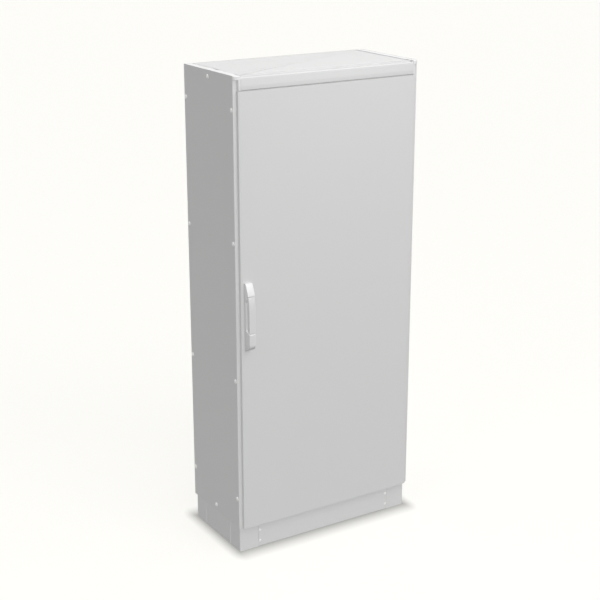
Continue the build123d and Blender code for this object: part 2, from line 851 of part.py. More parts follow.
# Hinge leaves: two knuckles on a plate that is welded inside the door skin
leaf_left = hinge_x - leaf_front
with BuildPart() as hinge_leaf:
    with BuildSketch():
        with Locations((hinge_x, hinge_y)):
            Circle(hinge_knuckle_radius)
        pane(leaf_left, hinge_x - leaf_back, skin_in, hinge_y)
        with Locations((hinge_x, hinge_y)):
            Circle(hinge_pin_radius + 0.05, mode=Mode.SUBTRACT)
    extrude(amount=hinge_height / 2, both=True)
    with BuildSketch():
        pane(hinge_x - leaf_relief, hinge_x + leaf_relief, skin_in + sheet, hinge_y + leaf_relief)
    extrude(amount=hinge_knuckle / 2, both=True, mode=Mode.SUBTRACT)
with BuildPart() as hinge_leaves:
    with Locations(*[(0, 0, z) for z in hinge_rows]):
        add(hinge_leaf.part)
save(hinge_leaves.part, "hinge_leaves")

# Hinge pins: each runs through all three knuckles and hangs by its head
with BuildPart() as hinge_pins:
    with Locations(*[(hinge_x, hinge_y, z) for z in hinge_rows]):
        Cylinder(hinge_pin_radius, hinge_height + 2)
    with Locations(*[(hinge_x, hinge_y, z + hinge_height / 2 + hinge_gap) for z in hinge_rows]):
        Cylinder(
            hinge_pin_radius + hinge_head_proud,
            hinge_head_rise,
            align=(Align.CENTER, Align.CENTER, Align.MIN),
        )
save(hinge_pins.part, "hinge_pins")

hinge_screw = domed_screw(2 * hinge_screw_radius, 1.6, hinge_screw_radius, hinge_foot_sheet)
with BuildPart() as hinge_screws:
    with Locations(*[
        Location(
            (hinge_foot_middle, hinge_foot, z + end * (hinge_foot_height / 2 - hinge_foot_inset)),
            (90, 0, 0),
        )
        for z in hinge_rows
        for end in (-1, 1)
    ]):
        add(hinge_screw)
save(hinge_screws.part, "hinge_screws")

# Door skin: a sheet folded back on all four sides, with bevelled upright edges and gaps for the hinges
handle_screws_at = [
    (handle_x, handle_bottom + handle_screw_rise),
    (handle_x, spindle_height - handle_screw_drop),
]
with BuildPart() as door_skin:
    with BuildSketch(Plane.XY.offset(door_bottom)):
        add(folded(
            [
                (door_left + door_lip_left, door_back),
                (door_left, door_back),
                (door_left, door_y + door_bevel_depth),
                (door_left + door_bevel_width, door_y),
                (door_right - door_bevel_width, door_y),
                (door_right, door_y + door_bevel_depth),
                (door_right, door_back),
                (door_right - door_lip, door_back),
            ],
            sheet,
            [2.0, 2.0, 3.0, 3.0, 2.0, 2.0],
        ))
    extrude(amount=door_top - door_bottom)
    for level in (door_bottom, door_top - sheet):
        with BuildSketch(Plane.XY.offset(level)):
            with BuildLine():
                Polyline(
                    (door_left + 0.5, door_back),
                    (door_left + 0.5, door_y + door_bevel_depth + 0.5),
                    (door_left + door_bevel_width, door_y + 0.5),
                    (door_right - door_bevel_width, door_y + 0.5),
                    (door_right - 0.5, door_y + door_bevel_depth + 0.5),
                    (door_right - 0.5, door_back),
                    close=True,
                )
            make_face()
        extrude(amount=sheet)
    with Locations(*[(door_right - door_lip / 2, hinge_y - hinge_notch, z) for z in hinge_rows]):
        Box(
            door_lip + 2 * door_frame_gap,
            door_proud + hinge_depth,
            hinge_height + 2 * hinge_notch_end,
            align=(Align.CENTER, Align.MIN, Align.CENTER),
            mode=Mode.SUBTRACT,
        )
    with BuildSketch(facing(door_y - 1)):
        with Locations((handle_x, spindle_height)):
            Circle(spindle_hole)
        with Locations(*handle_screws_at):
            Circle(handle_screw_radius + fit)
    extrude(amount=-4, mode=Mode.SUBTRACT)
save(door_skin.part, "door_skin")

# Door gasket: a foamed seal inside the door skin, facing the rib of the frame
seal_x = (wall_left + sheet / 2, wall_right - sheet / 2)
seal_z = (wall_bottom - sheet / 2, wall_top + sheet / 2)
with BuildPart() as door_gasket:
    with BuildSketch(facing(skin_in)):
        pane(
            seal_x[0] - gasket_width / 2,
            seal_x[1] + gasket_width / 2,
            seal_z[0] - gasket_width / 2,
            seal_z[1] + gasket_width / 2,
        )
        pane(
            seal_x[0] + gasket_width / 2,
            seal_x[1] - gasket_width / 2,
            seal_z[0] + gasket_width / 2,
            seal_z[1] - gasket_width / 2,
            mode=Mode.SUBTRACT,
        )
    extrude(amount=skin_in - (front_y - rib_proud - gasket_gap))
    corner = door_gasket.edges().filter_by(Axis.Z).group_by(Axis.X)[0].sort_by(Axis.Y)[0]
    front_face = door_gasket.faces().sort_by(Axis.Y)[0]
    chamfer(corner, length=door_bevel_width - 1, length2=door_bevel_depth, reference=front_face)
save(door_gasket.part, "door_gasket")

# Door stiffeners: hat sections welded upright inside the door
brim = stiffener_half + stiffener_slope
for side, name in ((-1, "left"), (1, "right")):
    with BuildPart() as stiffener:
        with BuildSketch(Plane.XY.offset(stiffener_bottom)):
            add(folded(
                [
                    (side * stiffener_offset - brim - stiffener_flange, skin_in),
                    (side * stiffener_offset - brim, skin_in),
                    (side * stiffener_offset - stiffener_half, skin_in + stiffener_depth),
                    (side * stiffener_offset + stiffener_half, skin_in + stiffener_depth),
                    (side * stiffener_offset + brim, skin_in),
                    (side * stiffener_offset + brim + stiffener_flange, skin_in),
                ],
                stiffener_sheet,
                bend_radius,
            ))
        extrude(amount=stiffener_top - stiffener_bottom)
    save(stiffener.part, f"door_stiffener_{name}")

# Lock case: a pad on the door skin, a plate in front of the racks and two side walls
case_front = rod_front - rod_play - case_plate
case_back = rod_back + rod_play
case_side = rod_far + rod_play + case_wall
with BuildPart() as lock_case:
    with BuildSketch(facing(skin_in)):
        with Locations((handle_x + case_pad_shift, spindle_height)):
            Rectangle(case_pad_width, case_height)
    extrude(amount=skin_in - case_front)
    with BuildSketch(facing(case_front)):
        with Locations((handle_x, spindle_height)):
            Rectangle(2 * case_side, case_height)
    extrude(amount=case_front - case_back)
    with BuildSketch(facing(case_back)):
        with Locations((handle_x, spindle_height)):
            Rectangle(2 * (case_side - case_wall), case_height)
    extrude(amount=case_back - case_front - case_plate, mode=Mode.SUBTRACT)
    with BuildSketch(facing(case_back)):
        with Locations((handle_x, spindle_height)):
            Circle(spindle_hole)
    extrude(amount=30, both=True, mode=Mode.SUBTRACT)
save(lock_case.part, "lock_case")

# Lock case cover: closes the case behind the racks, with a round window over the pinion
with BuildPart() as lock_case_cover:
    with BuildSketch(facing(case_back)):
        with Locations((handle_x, spindle_height)):
            Rectangle(2 * case_side, case_height)
            Circle(pitch_radius, mode=Mode.SUBTRACT)
    extrude(amount=-case_cover)
save(lock_case_cover.part, "lock_case_cover")


def tooth_angle(radius):
    """Half the angle that an involute tooth of the pinion covers at a radius."""
    base_radius = pitch_radius * cos(pressure_angle)
    at_pitch = tan(pressure_angle) - pressure_angle
    here = acos(min(1, base_radius / radius))
    return pi / 2 / pinion_teeth - tooth_backlash / pitch_radius + at_pitch - (tan(here) - here)


# Lock pinion: involute teeth round a square hole, turned by the spindle between the two racks
root_radius = pitch_radius - pinion_dedendum
tip_radius = pitch_radius + pinion_addendum
flank = [pitch_radius * cos(pressure_angle) + i * (tip_radius - pitch_radius * cos(pressure_angle)) / 5
         for i in range(6)]
with BuildPart() as lock_pinion:
    with BuildSketch(facing(rod_front)):
        with BuildLine():
            outline = []
            for tooth in range(pinion_teeth):
                middle = 2 * pi * tooth / pinion_teeth
                side = [(root_radius, -tooth_angle(flank[0]))] + [(r, -tooth_angle(r)) for r in flank]
                for r, a in side + [(r, -a) for r, a in reversed(side)]:
                    outline.append((
                        handle_x + r * cos(middle + a),
                        spindle_height + r * sin(middle + a),
                    ))
            Polyline(*outline, close=True)
        make_face()
        with Locations((handle_x, spindle_height)):
            Rectangle(spindle_side + seat_play, spindle_side + seat_play, mode=Mode.SUBTRACT)
    extrude(amount=-rod_thickness)
save(lock_pinion.part, "lock_pinion")


def rack_space(center, side):
    """The gap between two rack teeth, cut into the edge of a rod on one side of the pinion."""
    face = pitch_radius - rack_addendum
    floor = pitch_radius + rack_dedendum
    wide = tooth_pitch / 4 + tooth_backlash + rack_addendum * tan(pressure_angle)
    narrow = tooth_pitch / 4 + tooth_backlash - rack_dedendum * tan(pressure_angle)
    with BuildSketch() as space:
        with BuildLine():
            Polyline(
                (handle_x + side * (face - 1), center + wide + tan(pressure_angle)),
                (handle_x + side * floor, center + narrow),
                (handle_x + side * floor, center - narrow),
                (handle_x + side * (face - 1), center - wide - tan(pressure_angle)),
                close=True,
            )
        make_face()
    return space.sketch


# Lock rods: flat bars with a rack cut into one edge and a bevelled tip that runs behind a keeper
rack_margin = tooth_pitch / 2 + 1.5
upper_start = spindle_height - 2 * tooth_pitch - rack_margin
upper_end = wall_top - keeper_leg - rod_end_gap
lower_start = spindle_height + 2 * tooth_pitch + rack_margin
lower_end = wall_bottom + keeper_leg + rod_end_gap
for name, side, start, end in (
    ("upper", -1, upper_start, upper_end),
    ("lower", 1, lower_start, lower_end),
):
    with BuildPart() as lock_rod:
        with BuildSketch(facing(rod_front)):
            pane(
                handle_x + min(side * rod_near, side * rod_far),
                handle_x + max(side * rod_near, side * rod_far),
                min(start, end),
                max(start, end),
            )
            for tooth in range(rack_spaces):
                away = (tooth - 2) * tooth_pitch
                add(rack_space(spindle_height - side * away, side), mode=Mode.SUBTRACT)
        extrude(amount=-rod_thickness)
        tips = lock_rod.faces().sort_by(Axis.Z)[-1 if side < 0 else 0].edges()
        chamfer(tips.sort_by(Axis.Y)[0], length=4.0, length2=2.0)
    save(lock_rod.part, f"lock_rod_{name}")

# Rod guides: collars on stems from the door skin, each holding a rod with a little play
guide_rows = [
    (spindle_height + share * (end - spindle_height), side)
    for end, side in ((upper_end, -1), (lower_end, 1))
    for share in guide_shares
]
with BuildPart() as rod_guides:
    for level, side in guide_rows:
        near = handle_x + side * (rod_near - rod_play)
        far = handle_x + side * (rod_far + rod_play)
        with BuildSketch(Plane.XY.offset(level - guide_height / 2)):
            pane(
                min(near, far) - case_wall,
                max(near, far) + case_wall,
                rod_front - rod_play - guide_wall,
                rod_back + rod_play + sheet,
            )
            pane(
                min(near, far),
                max(near, far),
                rod_front - rod_play,
                rod_back + rod_play,
                mode=Mode.SUBTRACT,
            )
            pane(
                min(handle_x + side * guide_stem_start, handle_x + side * guide_stem),
                max(handle_x + side * guide_stem_start, handle_x + side * guide_stem),
                skin_in,
                rod_front - rod_play - guide_wall,
            )
        extrude(amount=guide_height)
save(rod_guides.part, "rod_guides")

# Rod keepers: angle pieces on the inner walls of the frame that the rod tips pass behind when locked
with BuildPart() as rod_keepers:
    for side, level, down in ((-1, wall_top, -1), (1, wall_bottom, 1)):
        middle = handle_x + side * (rod_near + rod_far) / 2
        leg_front = rod_front - keeper_gap - keeper_sheet
        with BuildSketch(facing(leg_front)):
            pane(
                middle - keeper_half,
                middle + keeper_half,
                min(level, level + down * keeper_leg),
                max(level, level + down * keeper_leg),
            )
        extrude(amount=-keeper_sheet)
        with BuildSketch(facing(leg_front)):
            pane(
                middle - keeper_half,
                middle + keeper_half,
                min(level, level + down * keeper_sheet),
                max(level, level + down * keeper_sheet),
            )
        extrude(amount=-keeper_reach)
save(rod_keepers.part, "rod_keepers")


def profile(points):
    """Places of a handle outline given as distance out from the door and height."""
    return [(door_y - out, z) for out, z in points]


# Handle base: a flat plate on the door with the lock block at its foot, bored for the lock insert
block_slope = (lock_nose - handle_bottom) / handle_depth
insert_tilt = degrees(atan2(lock_nose - handle_bottom, handle_depth))
insert_out = handle_depth * insert_share
insert_face = Plane(
    origin=(handle_x, door_y - insert_out, handle_bottom + insert_out * block_slope),
    x_dir=(1, 0, 0),
    z_dir=(0, -sin(radians(insert_tilt)), -cos(radians(insert_tilt))),
)
slant = lever_slant / lever_depth
block_top = lever_bottom - lever_gap
with BuildPart() as handle_base:
    with BuildSketch(Plane.YZ.offset(handle_x - handle_width / 2)):
        with BuildLine():
            Polyline(
                *profile([
                    (0, handle_bottom),
                    (handle_depth, lock_nose),
                    (handle_depth, block_top),
                    (handle_base_depth, block_top + (handle_depth - handle_base_depth) * slant),
                    (handle_base_depth, handle_top - head_edge),
                    (handle_base_depth - head_edge, handle_top),
                    (0, handle_top),
                ]),
                close=True,
            )
        make_face()
    extrude(amount=handle_width)
    upright = handle_base.edges().filter_by(Axis.Z).group_by(Axis.Y)
    fillet(upright[0], radius=handle_round)
    with BuildSketch(facing(door_y)):
        with Locations((handle_x, spindle_height)):
            Circle(spindle_hole)
    extrude(amount=handle_depth, mode=Mode.SUBTRACT)
    with BuildSketch(facing(door_y)):
        with Locations(*handle_screws_at):
            Circle(handle_screw_radius)
    extrude(amount=handle_screw_length, mode=Mode.SUBTRACT)
    with BuildSketch(insert_face):
        Circle(insert_radius + insert_play)
    extrude(amount=-insert_length - fit, mode=Mode.SUBTRACT)
save(handle_base.part, "handle_base")

# Handle screws: they hold the handle base from inside the door skin
handle_screw = domed_screw(2 * handle_screw_radius, 2.4, handle_screw_radius, handle_screw_length)
with BuildPart() as handle_screws:
    with Locations(*[Location((x, skin_in, z), (-90, 0, 0)) for x, z in handle_screws_at]):
        add(handle_screw)
save(handle_screws.part, "handle_screws")

# Lock insert: a round plug with a ring recess round a small pin and two slots for a bit key
with BuildPart() as lock_insert:
    with BuildSketch(insert_face):
        Circle(insert_radius)
    extrude(amount=-insert_length)
    with BuildSketch(insert_face):
        Circle(key_recess_radius)
        Rectangle(2 * key_recess_radius + 3, key_slot)
    extrude(amount=-key_recess_depth, mode=Mode.SUBTRACT)
    with BuildSketch(insert_face.offset(-key_recess_depth)):
        Circle(key_pin_radius)
    extrude(amount=key_recess_depth)
save(lock_insert.part, "lock_insert")

# Handle head: the turning part over the spindle, with a curved back, a seat for the lever and a hinge tongue
head_in = handle_base_depth + hinge_gap
seat_radius = lever_depth / 2 + 0.5
seam = (
    lever_mid + seat_radius * cos(seam_angle),
    lever_pivot_height + seat_radius * sin(seam_angle),
)
with BuildPart() as handle_head:
    with BuildSketch(Plane.YZ.offset(handle_x - handle_width / 2)):
        with BuildLine():
            Polyline(*profile([
                (lever_mid - seat_radius, lever_pivot_height),
                (lever_mid - seat_radius, lever_pivot_height - head_lap_drop),
                (head_in, lever_pivot_height - head_foot_drop),
                (head_in, handle_top - head_edge),
            ]))
            ThreePointArc(*profile([
                (head_in, handle_top - head_edge),
                (handle_depth - head_back_in, handle_top - head_back_drop),
                (handle_depth, seam[1] + seam_rise),
            ]))
            Polyline(*profile([(handle_depth, seam[1] + seam_rise), seam]))
            ThreePointArc(*profile([
                seam,
                (lever_mid, lever_pivot_height + seat_radius),
                (lever_mid - seat_radius, lever_pivot_height),
            ]))
        make_face()
    extrude(amount=handle_width)
    with BuildSketch(Plane.YZ.offset(handle_x - lever_fork / 2 + fit)):
        with Locations(profile([(lever_mid, lever_pivot_height)])[0]):
            Circle(tongue_radius)
        with BuildLine():
            Polyline(
                *profile([
                    (lever_mid - tongue_radius, lever_pivot_height),
                    (lever_mid + tongue_radius, lever_pivot_height),
                    (lever_mid + tongue_radius - 2, lever_pivot_height + seat_radius),
                    (lever_mid - tongue_radius, lever_pivot_height + seat_radius),
                ]),
                close=True,
            )
        make_face()
    extrude(amount=lever_fork - 2 * fit)
    with BuildSketch(Plane.YZ.offset(handle_x - handle_width)):
        with Locations(profile([(lever_mid, lever_pivot_height)])[0]):
            Circle(lever_pin_radius)
    extrude(amount=2 * handle_width, mode=Mode.SUBTRACT)
    with BuildSketch(facing(door_y - head_in)):
        with Locations((handle_x, spindle_height)):
            Rectangle(spindle_side + seat_play, spindle_side + seat_play)
    extrude(amount=spindle_seat, mode=Mode.SUBTRACT)
save(handle_head.part, "handle_head")

# Spindle: a square bar from the handle head through the door to the lock pinion
with BuildPart() as spindle:
    with BuildSketch(facing(rod_back)):
        with Locations((handle_x, spindle_height)):
            Rectangle(spindle_side, spindle_side)
    extrude(amount=rod_back - (door_y - head_in - spindle_seat + hinge_gap))
save(spindle.part, "spindle")

# Lever pin: the cross pin on which the lever swings out
with BuildPart() as lever_pin:
    with BuildSketch(Plane.YZ.offset(handle_x - handle_width / 2 + lever_pin_inset)):
        with Locations(profile([(lever_mid, lever_pivot_height)])[0]):
            Circle(lever_pin_radius)
    extrude(amount=handle_width - 2 * lever_pin_inset)
save(lever_pin.part, "lever_pin")

# Handle lever: the grip, forked round the tongue at the top and cut off slanted above the lock block
with BuildPart() as handle_lever:
    with BuildSketch(Plane.YZ.offset(handle_x - handle_width / 2)):
        with BuildLine():
            Polyline(
                *profile([
                    (lever_back, lever_pivot_height),
                    (lever_back, lever_bottom + lever_slant),
                    (handle_depth, lever_bottom),
                    (handle_depth, lever_pivot_height),
                ]),
                close=True,
            )
        make_face()
        with Locations(profile([(lever_mid, lever_pivot_height)])[0]):
            Circle(lever_depth / 2)
    extrude(amount=handle_width)
    long_edges = handle_lever.edges().filter_by(Axis.Z).group_by(Axis.Y)
    fillet(long_edges[0], radius=handle_round)
    with BuildSketch(Plane.YZ.offset(handle_x - lever_fork / 2)):
        with Locations(profile([(lever_mid, lever_pivot_height)])[0]):
            with Locations((0, 10)):
                Rectangle(3 * lever_depth, 20 + 2 * (tongue_radius + 2))
    extrude(amount=lever_fork, mode=Mode.SUBTRACT)
    with BuildSketch(Plane.YZ.offset(handle_x - handle_width)):
        with Locations(profile([(lever_mid, lever_pivot_height)])[0]):
            Circle(lever_pin_radius + insert_play)
    extrude(amount=2 * handle_width, mode=Mode.SUBTRACT)
save(handle_lever.part, "handle_lever")

# Mounting plate: a sheet folded back at the top and bottom, carried on four brackets from the rear posts
plate_reach = plate_width / 2
bracket_rows = (plate_bottom + bracket_rise, plate_top - bracket_rise)
bracket_bolts_at = [(side * (plate_reach - bracket_bolt_inset), z) for side in (-1, 1) for z in bracket_rows]
with BuildPart() as mounting_plate:
    with BuildSketch(Plane.YZ.offset(-plate_reach)):
        add(folded(
            [
                (plate_front + plate_fold, plate_top),
                (plate_front, plate_top),
                (plate_front, plate_bottom),
                (plate_front + plate_fold, plate_bottom),
            ],
            plate_sheet,
            3.0,
        ))
    extrude(amount=2 * plate_reach)
    with BuildSketch(facing(plate_front)):
        with Locations(*bracket_bolts_at):
            Circle(bracket_bolt_radius + fit)
    extrude(amount=-2 * plate_sheet, mode=Mode.SUBTRACT)
save(mounting_plate.part, "mounting_plate")

# Mounting brackets: angles from the rear posts to the back of the mounting plate
with BuildPart() as bracket:
    with BuildSketch():
        add(folded(
            [
                (-plate_reach + bracket_overlap, plate_front + plate_sheet),
                (-rail_reach, plate_front + plate_sheet),
                (-rail_reach, base_back - 4),
            ][::-1],
            bracket_sheet,
            3.0,
        ))
    extrude(amount=bracket_half_height, both=True)
    with BuildSketch(facing(plate_front)):
        with Locations((-plate_reach + bracket_bolt_inset, 0)):
            Circle(bracket_bolt_radius + fit)
    extrude(amount=-3 * bracket_sheet, mode=Mode.SUBTRACT)
with BuildPart() as mounting_brackets:
    with Locations(*[(0, 0, z) for z in bracket_rows]):
        add(bracket.part)
    mirror(about=Plane.YZ)
save(mounting_brackets.part, "mounting_brackets")

mounting_bolt = hex_bolt(bracket_bolt_radius, bracket_bolt_length)
with BuildPart() as mounting_bolts:
    with Locations(*[Location((x, plate_front, z), (90, 0, 0)) for x, z in bracket_bolts_at]):
        add(mounting_bolt)
save(mounting_bolts.part, "mounting_bolts")

# Component rails: top-hat rails across the mounting plate
rail_front = plate_front - component_rail_depth
with BuildPart() as component_rails:
    for share in component_rail_shares:
        level = plate_bottom + share * (plate_top - plate_bottom)
        with BuildSketch(Plane.YZ.offset(-plate_reach + component_rail_inset)):
            add(folded(
                [
                    (rail_front, level - component_rail_half),
                    (rail_front, level - component_rail_base),
                    (plate_front, level - component_rail_base),
                    (plate_front, level + component_rail_base),
                    (rail_front, level + component_rail_base),
                    (rail_front, level + component_rail_half),
                ],
                component_rail_sheet,
                component_rail_sheet + fit,
            ))
        extrude(amount=2 * (plate_reach - component_rail_inset))
save(component_rails.part, "component_rails")

# Earth bar: a brass bar on two feet, with a row of clamp screw holes
with BuildPart() as earth_bar:
    with BuildSketch(facing(plate_front - earth_bar_standoff)):
        with Locations((0, plate_bottom + earth_bar_rise)):
            Rectangle(earth_bar_length, earth_bar_height)
            with GridLocations(earth_bar_length / 18, 0, 16, 1):
                Circle(0.2 * earth_bar_height, mode=Mode.SUBTRACT)
    extrude(amount=earth_bar_sheet)
    with BuildSketch(facing(plate_front - earth_bar_standoff)):
        with Locations((0, plate_bottom + earth_bar_rise)):
            with GridLocations(earth_bar_length - earth_bar_height, 0, 2, 1):
                Rectangle(earth_bar_height, earth_bar_height)
    extrude(amount=-earth_bar_standoff)
save(earth_bar.part, "earth_bar")

# Cable rail: a channel across the base frame for clamping cables above the gland plate
cable_rail_y = back_y - cable_rail_back_gap
cable_rail_left = base_left + cable_rail_lip
with BuildPart() as cable_rail:
    with BuildSketch(Plane.YZ.offset(cable_rail_left)):
        add(folded([
            (cable_rail_y - cable_rail_half + cable_rail_lip, base_top + cable_rail_height),
            (cable_rail_y - cable_rail_half, base_top + cable_rail_height),
            (cable_rail_y - cable_rail_half, base_top),
            (cable_rail_y + cable_rail_half, base_top),
            (cable_rail_y + cable_rail_half, base_top + cable_rail_height),
            (cable_rail_y + cable_rail_half - cable_rail_lip, base_top + cable_rail_height),
        ]))
    extrude(amount=-2 * cable_rail_left)
save(cable_rail.part, "cable_rail")
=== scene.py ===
import json
from math import pi, radians

import bpy
import numpy as np
from mathutils import Euler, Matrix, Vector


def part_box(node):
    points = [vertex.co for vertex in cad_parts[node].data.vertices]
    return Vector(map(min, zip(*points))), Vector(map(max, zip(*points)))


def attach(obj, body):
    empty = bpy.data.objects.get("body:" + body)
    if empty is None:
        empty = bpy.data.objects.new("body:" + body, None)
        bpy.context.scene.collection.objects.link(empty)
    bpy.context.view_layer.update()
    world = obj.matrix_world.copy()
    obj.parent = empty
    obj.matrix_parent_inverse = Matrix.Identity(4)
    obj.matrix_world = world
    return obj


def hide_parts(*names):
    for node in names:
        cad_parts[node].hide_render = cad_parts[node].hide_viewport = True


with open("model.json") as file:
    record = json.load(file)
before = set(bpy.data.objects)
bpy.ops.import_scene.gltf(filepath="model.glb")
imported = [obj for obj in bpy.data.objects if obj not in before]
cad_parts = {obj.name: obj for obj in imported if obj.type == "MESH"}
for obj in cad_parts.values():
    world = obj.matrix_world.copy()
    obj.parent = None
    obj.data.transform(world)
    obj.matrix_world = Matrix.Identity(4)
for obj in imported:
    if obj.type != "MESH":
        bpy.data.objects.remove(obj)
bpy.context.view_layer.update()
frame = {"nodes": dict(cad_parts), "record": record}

bl_info = {
    "name": "Roadside control cabinet",
    "version": (1, 0, 0),
    "blender": (4, 5, 0),
    "location": "View3D > Sidebar > Cabinet",
    "description": "Dresses the cabinet's frame with moulded handle parts, caps, screws and finishes",
    "category": "Object",
}

# Places and one direction that the CAD model fixes, in metres
BASE_LOW, BASE_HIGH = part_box("handle_base")
HANDLE_X = (BASE_LOW[0] + BASE_HIGH[0]) / 2
DOOR_Y = BASE_HIGH[1]
PIN_LOW, PIN_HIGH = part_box("lever_pin")
PIVOT_OUT = DOOR_Y - (PIN_LOW[1] + PIN_HIGH[1]) / 2
PIVOT_Z = (PIN_LOW[2] + PIN_HIGH[2]) / 2
INSERT_AXIS = (0.0, -0.5812, -0.8137)
PANEL_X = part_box("side_panel_right")[1][0]
FRONT_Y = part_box("side_panel_right")[0][1]
REAR_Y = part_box("rear_panel")[1][1]
FASCIA_LOW, FASCIA_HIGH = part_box("fascia")
PLINTH_HALF_X, PLINTH_HALF_Y = 0.400, 0.183

# Sizes of the dressed pieces, in metres
HANDLE_TOP = BASE_HIGH[2] + 0.006
HANDLE_PLATE = 0.0128
LEVER_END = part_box("handle_lever")[0][2] + 0.0035
LEVER_GAP = 0.002
LEVER_CUT = 0.0055
LEVER_DEPTH = 0.0166
BLOCK_SLANT = 0.021
BORE_RADIUS, BORE_LENGTH = 0.0071, 0.03
BOW_DEPTH, BOW_START, BOW_LENGTH = 0.0070, -0.040, 0.048
HEAD_STEP, HEAD_MARGIN = 0.0066, 0.0012
SEAT_RADIUS = 0.0088
FASCIA_LIP = FASCIA_LOW[2] + 0.016
FASCIA_LEAN = 0.0032
FASCIA_STEP = 0.0035
CAP_WIDTH = 0.0258
CAP_HEIGHT = 0.0141
SHEET = 0.0015
NOTCH_SHARES = (0.08, 0.5, 0.97)
NOTCH_HALF, NOTCH_DEPTH = 0.017, 0.006
SIDE_SCREW = {"head": 0.0095, "rise": 0.003, "socket": 0.0026, "depth": 0.0015, "around": 36}
PLINTH_SCREW = {"head": 0.0058, "rise": 0.0016, "socket": 0.0015, "depth": 0.0008, "around": 28}

SHARP_ANGLE = radians(35.0)

# Colours of some pieces, as shares of the paint's or the plastic's. The roof rails' and the handle
# head's are lighter copies of the paint and the plastic: a painted highlight
FRAME_TONE, RAIL_HIGHLIGHT_TONE, CAP_TONE, HEAD_HIGHLIGHT_TONE = 0.97, 1.16, 1.08, 1.13

# The floor and the backdrop as they are seen, and the floor where it only gives light
FLOOR_REACH = 60
FLOOR_COLOR = (0.409, 0.4055, 0.390)
FLOOR_GLOW = (0.495, 0.4915, 0.474)
FLOOR_BOUNCE = (0.29, 0.29, 0.29)
BACKDROP = (0.99, 0.983, 0.948)

# The floor's painted shadow round the plinth: how dark at the plinth, how far out, and how fast it
# fades
SHADE_DEPTH, SHADE_REACH, SHADE_POWER = 0.57, 0.043, 1.3

# The lamps: the key's share that throws shadows, angles above the floor and around in degrees,
# the suns' width, and the softbox in metres
KEY_SHADOWED = 0.05
KEY_RISE, KEY_AROUND = 50, -10
FILL_RISE, FILL_COUNT = 32, 8
SUN_SPREAD = radians(25)
SOFTBOX_SIZE = 1.6
SOFTBOX_PLACE = (0.3, -1.7, 3.0)
SOFTBOX_TURN = (radians(48), 0, radians(8))

# The camera, fitted to the cabinet's edges in the photograph
CAMERA_PLACE = (-2.6944, -4.3230, 2.5994)
CAMERA_TURN = (radians(90 - 18.04), 0, radians(-31.89))


class CabinetSettings(bpy.types.PropertyGroup):
    """Sizes and colours of the dressed cabinet that a user would change."""

    paint: bpy.props.FloatVectorProperty(
        name="Paint", description="Colour of the powder coat", subtype="COLOR", size=3,
        default=(0.57, 0.57, 0.57), min=0.0, max=1.0,
    )
    # Set a little lighter than the shell's paint: painted light that lifts the shade under the
    # overhanging body
    plinth_paint: bpy.props.FloatVectorProperty(
        name="Plinth paint", description="Colour of the plinth's powder coat", subtype="COLOR",
        size=3, default=(0.59, 0.59, 0.59), min=0.0, max=1.0,
    )
    plastic: bpy.props.FloatVectorProperty(
        name="Handle plastic", description="Colour of the moulded handle", subtype="COLOR", size=3,
        default=(0.58, 0.58, 0.58), min=0.0, max=1.0,
    )
    edge_radius: bpy.props.FloatProperty(
        name="Lever edge radius", description="Rounding of the lever's long edges",
        default=0.0022, unit="LENGTH", subtype="DISTANCE",
    )
    sky: bpy.props.FloatProperty(
        name="Sky", description="Strength of the even light from all round", default=0.43, min=0.0,
    )
    key: bpy.props.FloatProperty(
        name="Key light", description="Strength of the soft light from the front and above",
        default=1.72, min=0.0,
    )
    fill: bpy.props.FloatProperty(
        name="Fill lights", description="Strength of each of the eight lights in the ring",
        default=0.265, min=0.0,
    )
    softbox: bpy.props.FloatProperty(
        name="Softbox", description="Power of the soft lamp above the door", default=13.5, min=0.0,
        unit="POWER",
    )
    lens: bpy.props.FloatProperty(
        name="Lens", description="Focal length of the camera in millimetres", default=79.4,
    )


def settings():
    """The scene's cabinet settings."""
    return bpy.context.scene.cabinet


def added(name, data, place=(0, 0, 0), turn=(0, 0, 0)):
    """A new object in the scene, at a place and turned."""
    thing = bpy.data.objects.new(name, data)
    thing.location = place
    thing.rotation_euler = Euler(turn)
    bpy.context.scene.collection.objects.link(thing)
    return thing


def rounded_outline(corners, step=0.0006, bend=0.2):
    """A closed outline through corners (x, y, radius), each an arc that touches both its sides.

    An arc's middle lies its radius inwards, radius x tan(half the turn) before the corner. An arc
    has a place for each step of length and for each bend in radians. The corners run
    anticlockwise. Returns the places and their outward normals."""
    corners = np.array(corners, float)
    points, radii = corners[:, :2], corners[:, 2]
    before = points - np.roll(points, 1, axis=0)
    after = np.roll(points, -1, axis=0) - points
    before /= np.linalg.norm(before, axis=1)[:, None]
    after /= np.linalg.norm(after, axis=1)[:, None]
    turn = np.arctan2(
        before[:, 0] * after[:, 1] - before[:, 1] * after[:, 0], (before * after).sum(axis=1)
    )
    places, normals = [], []
    for corner, radius, along, angle in zip(points, radii, before, turn):
        side = np.sign(angle)
        inward = side * np.array([-along[1], along[0]])
        center = corner - along * radius * abs(np.tan(angle / 2)) + inward * radius
        count = max(3, int(abs(angle) * radius / step) + 2, int(abs(angle) / bend) + 2)
        sweep = np.linspace(0, angle, count)[:, None]
        spoke = -inward * np.cos(sweep) + along * np.sin(abs(sweep))
        places.append(center + radius * spoke)
        normals.append(side * spoke)
    return np.vstack(places), np.vstack(normals)


def outward(outline):
    """The outward normals of an outline that runs anticlockwise: across the line that joins the
    places either side."""
    ahead = np.roll(outline, -1, axis=0) - np.roll(outline, 1, axis=0)
    normals = np.stack([ahead[:, 1], -ahead[:, 0]], axis=-1)
    return normals / np.linalg.norm(normals, axis=1)[:, None]


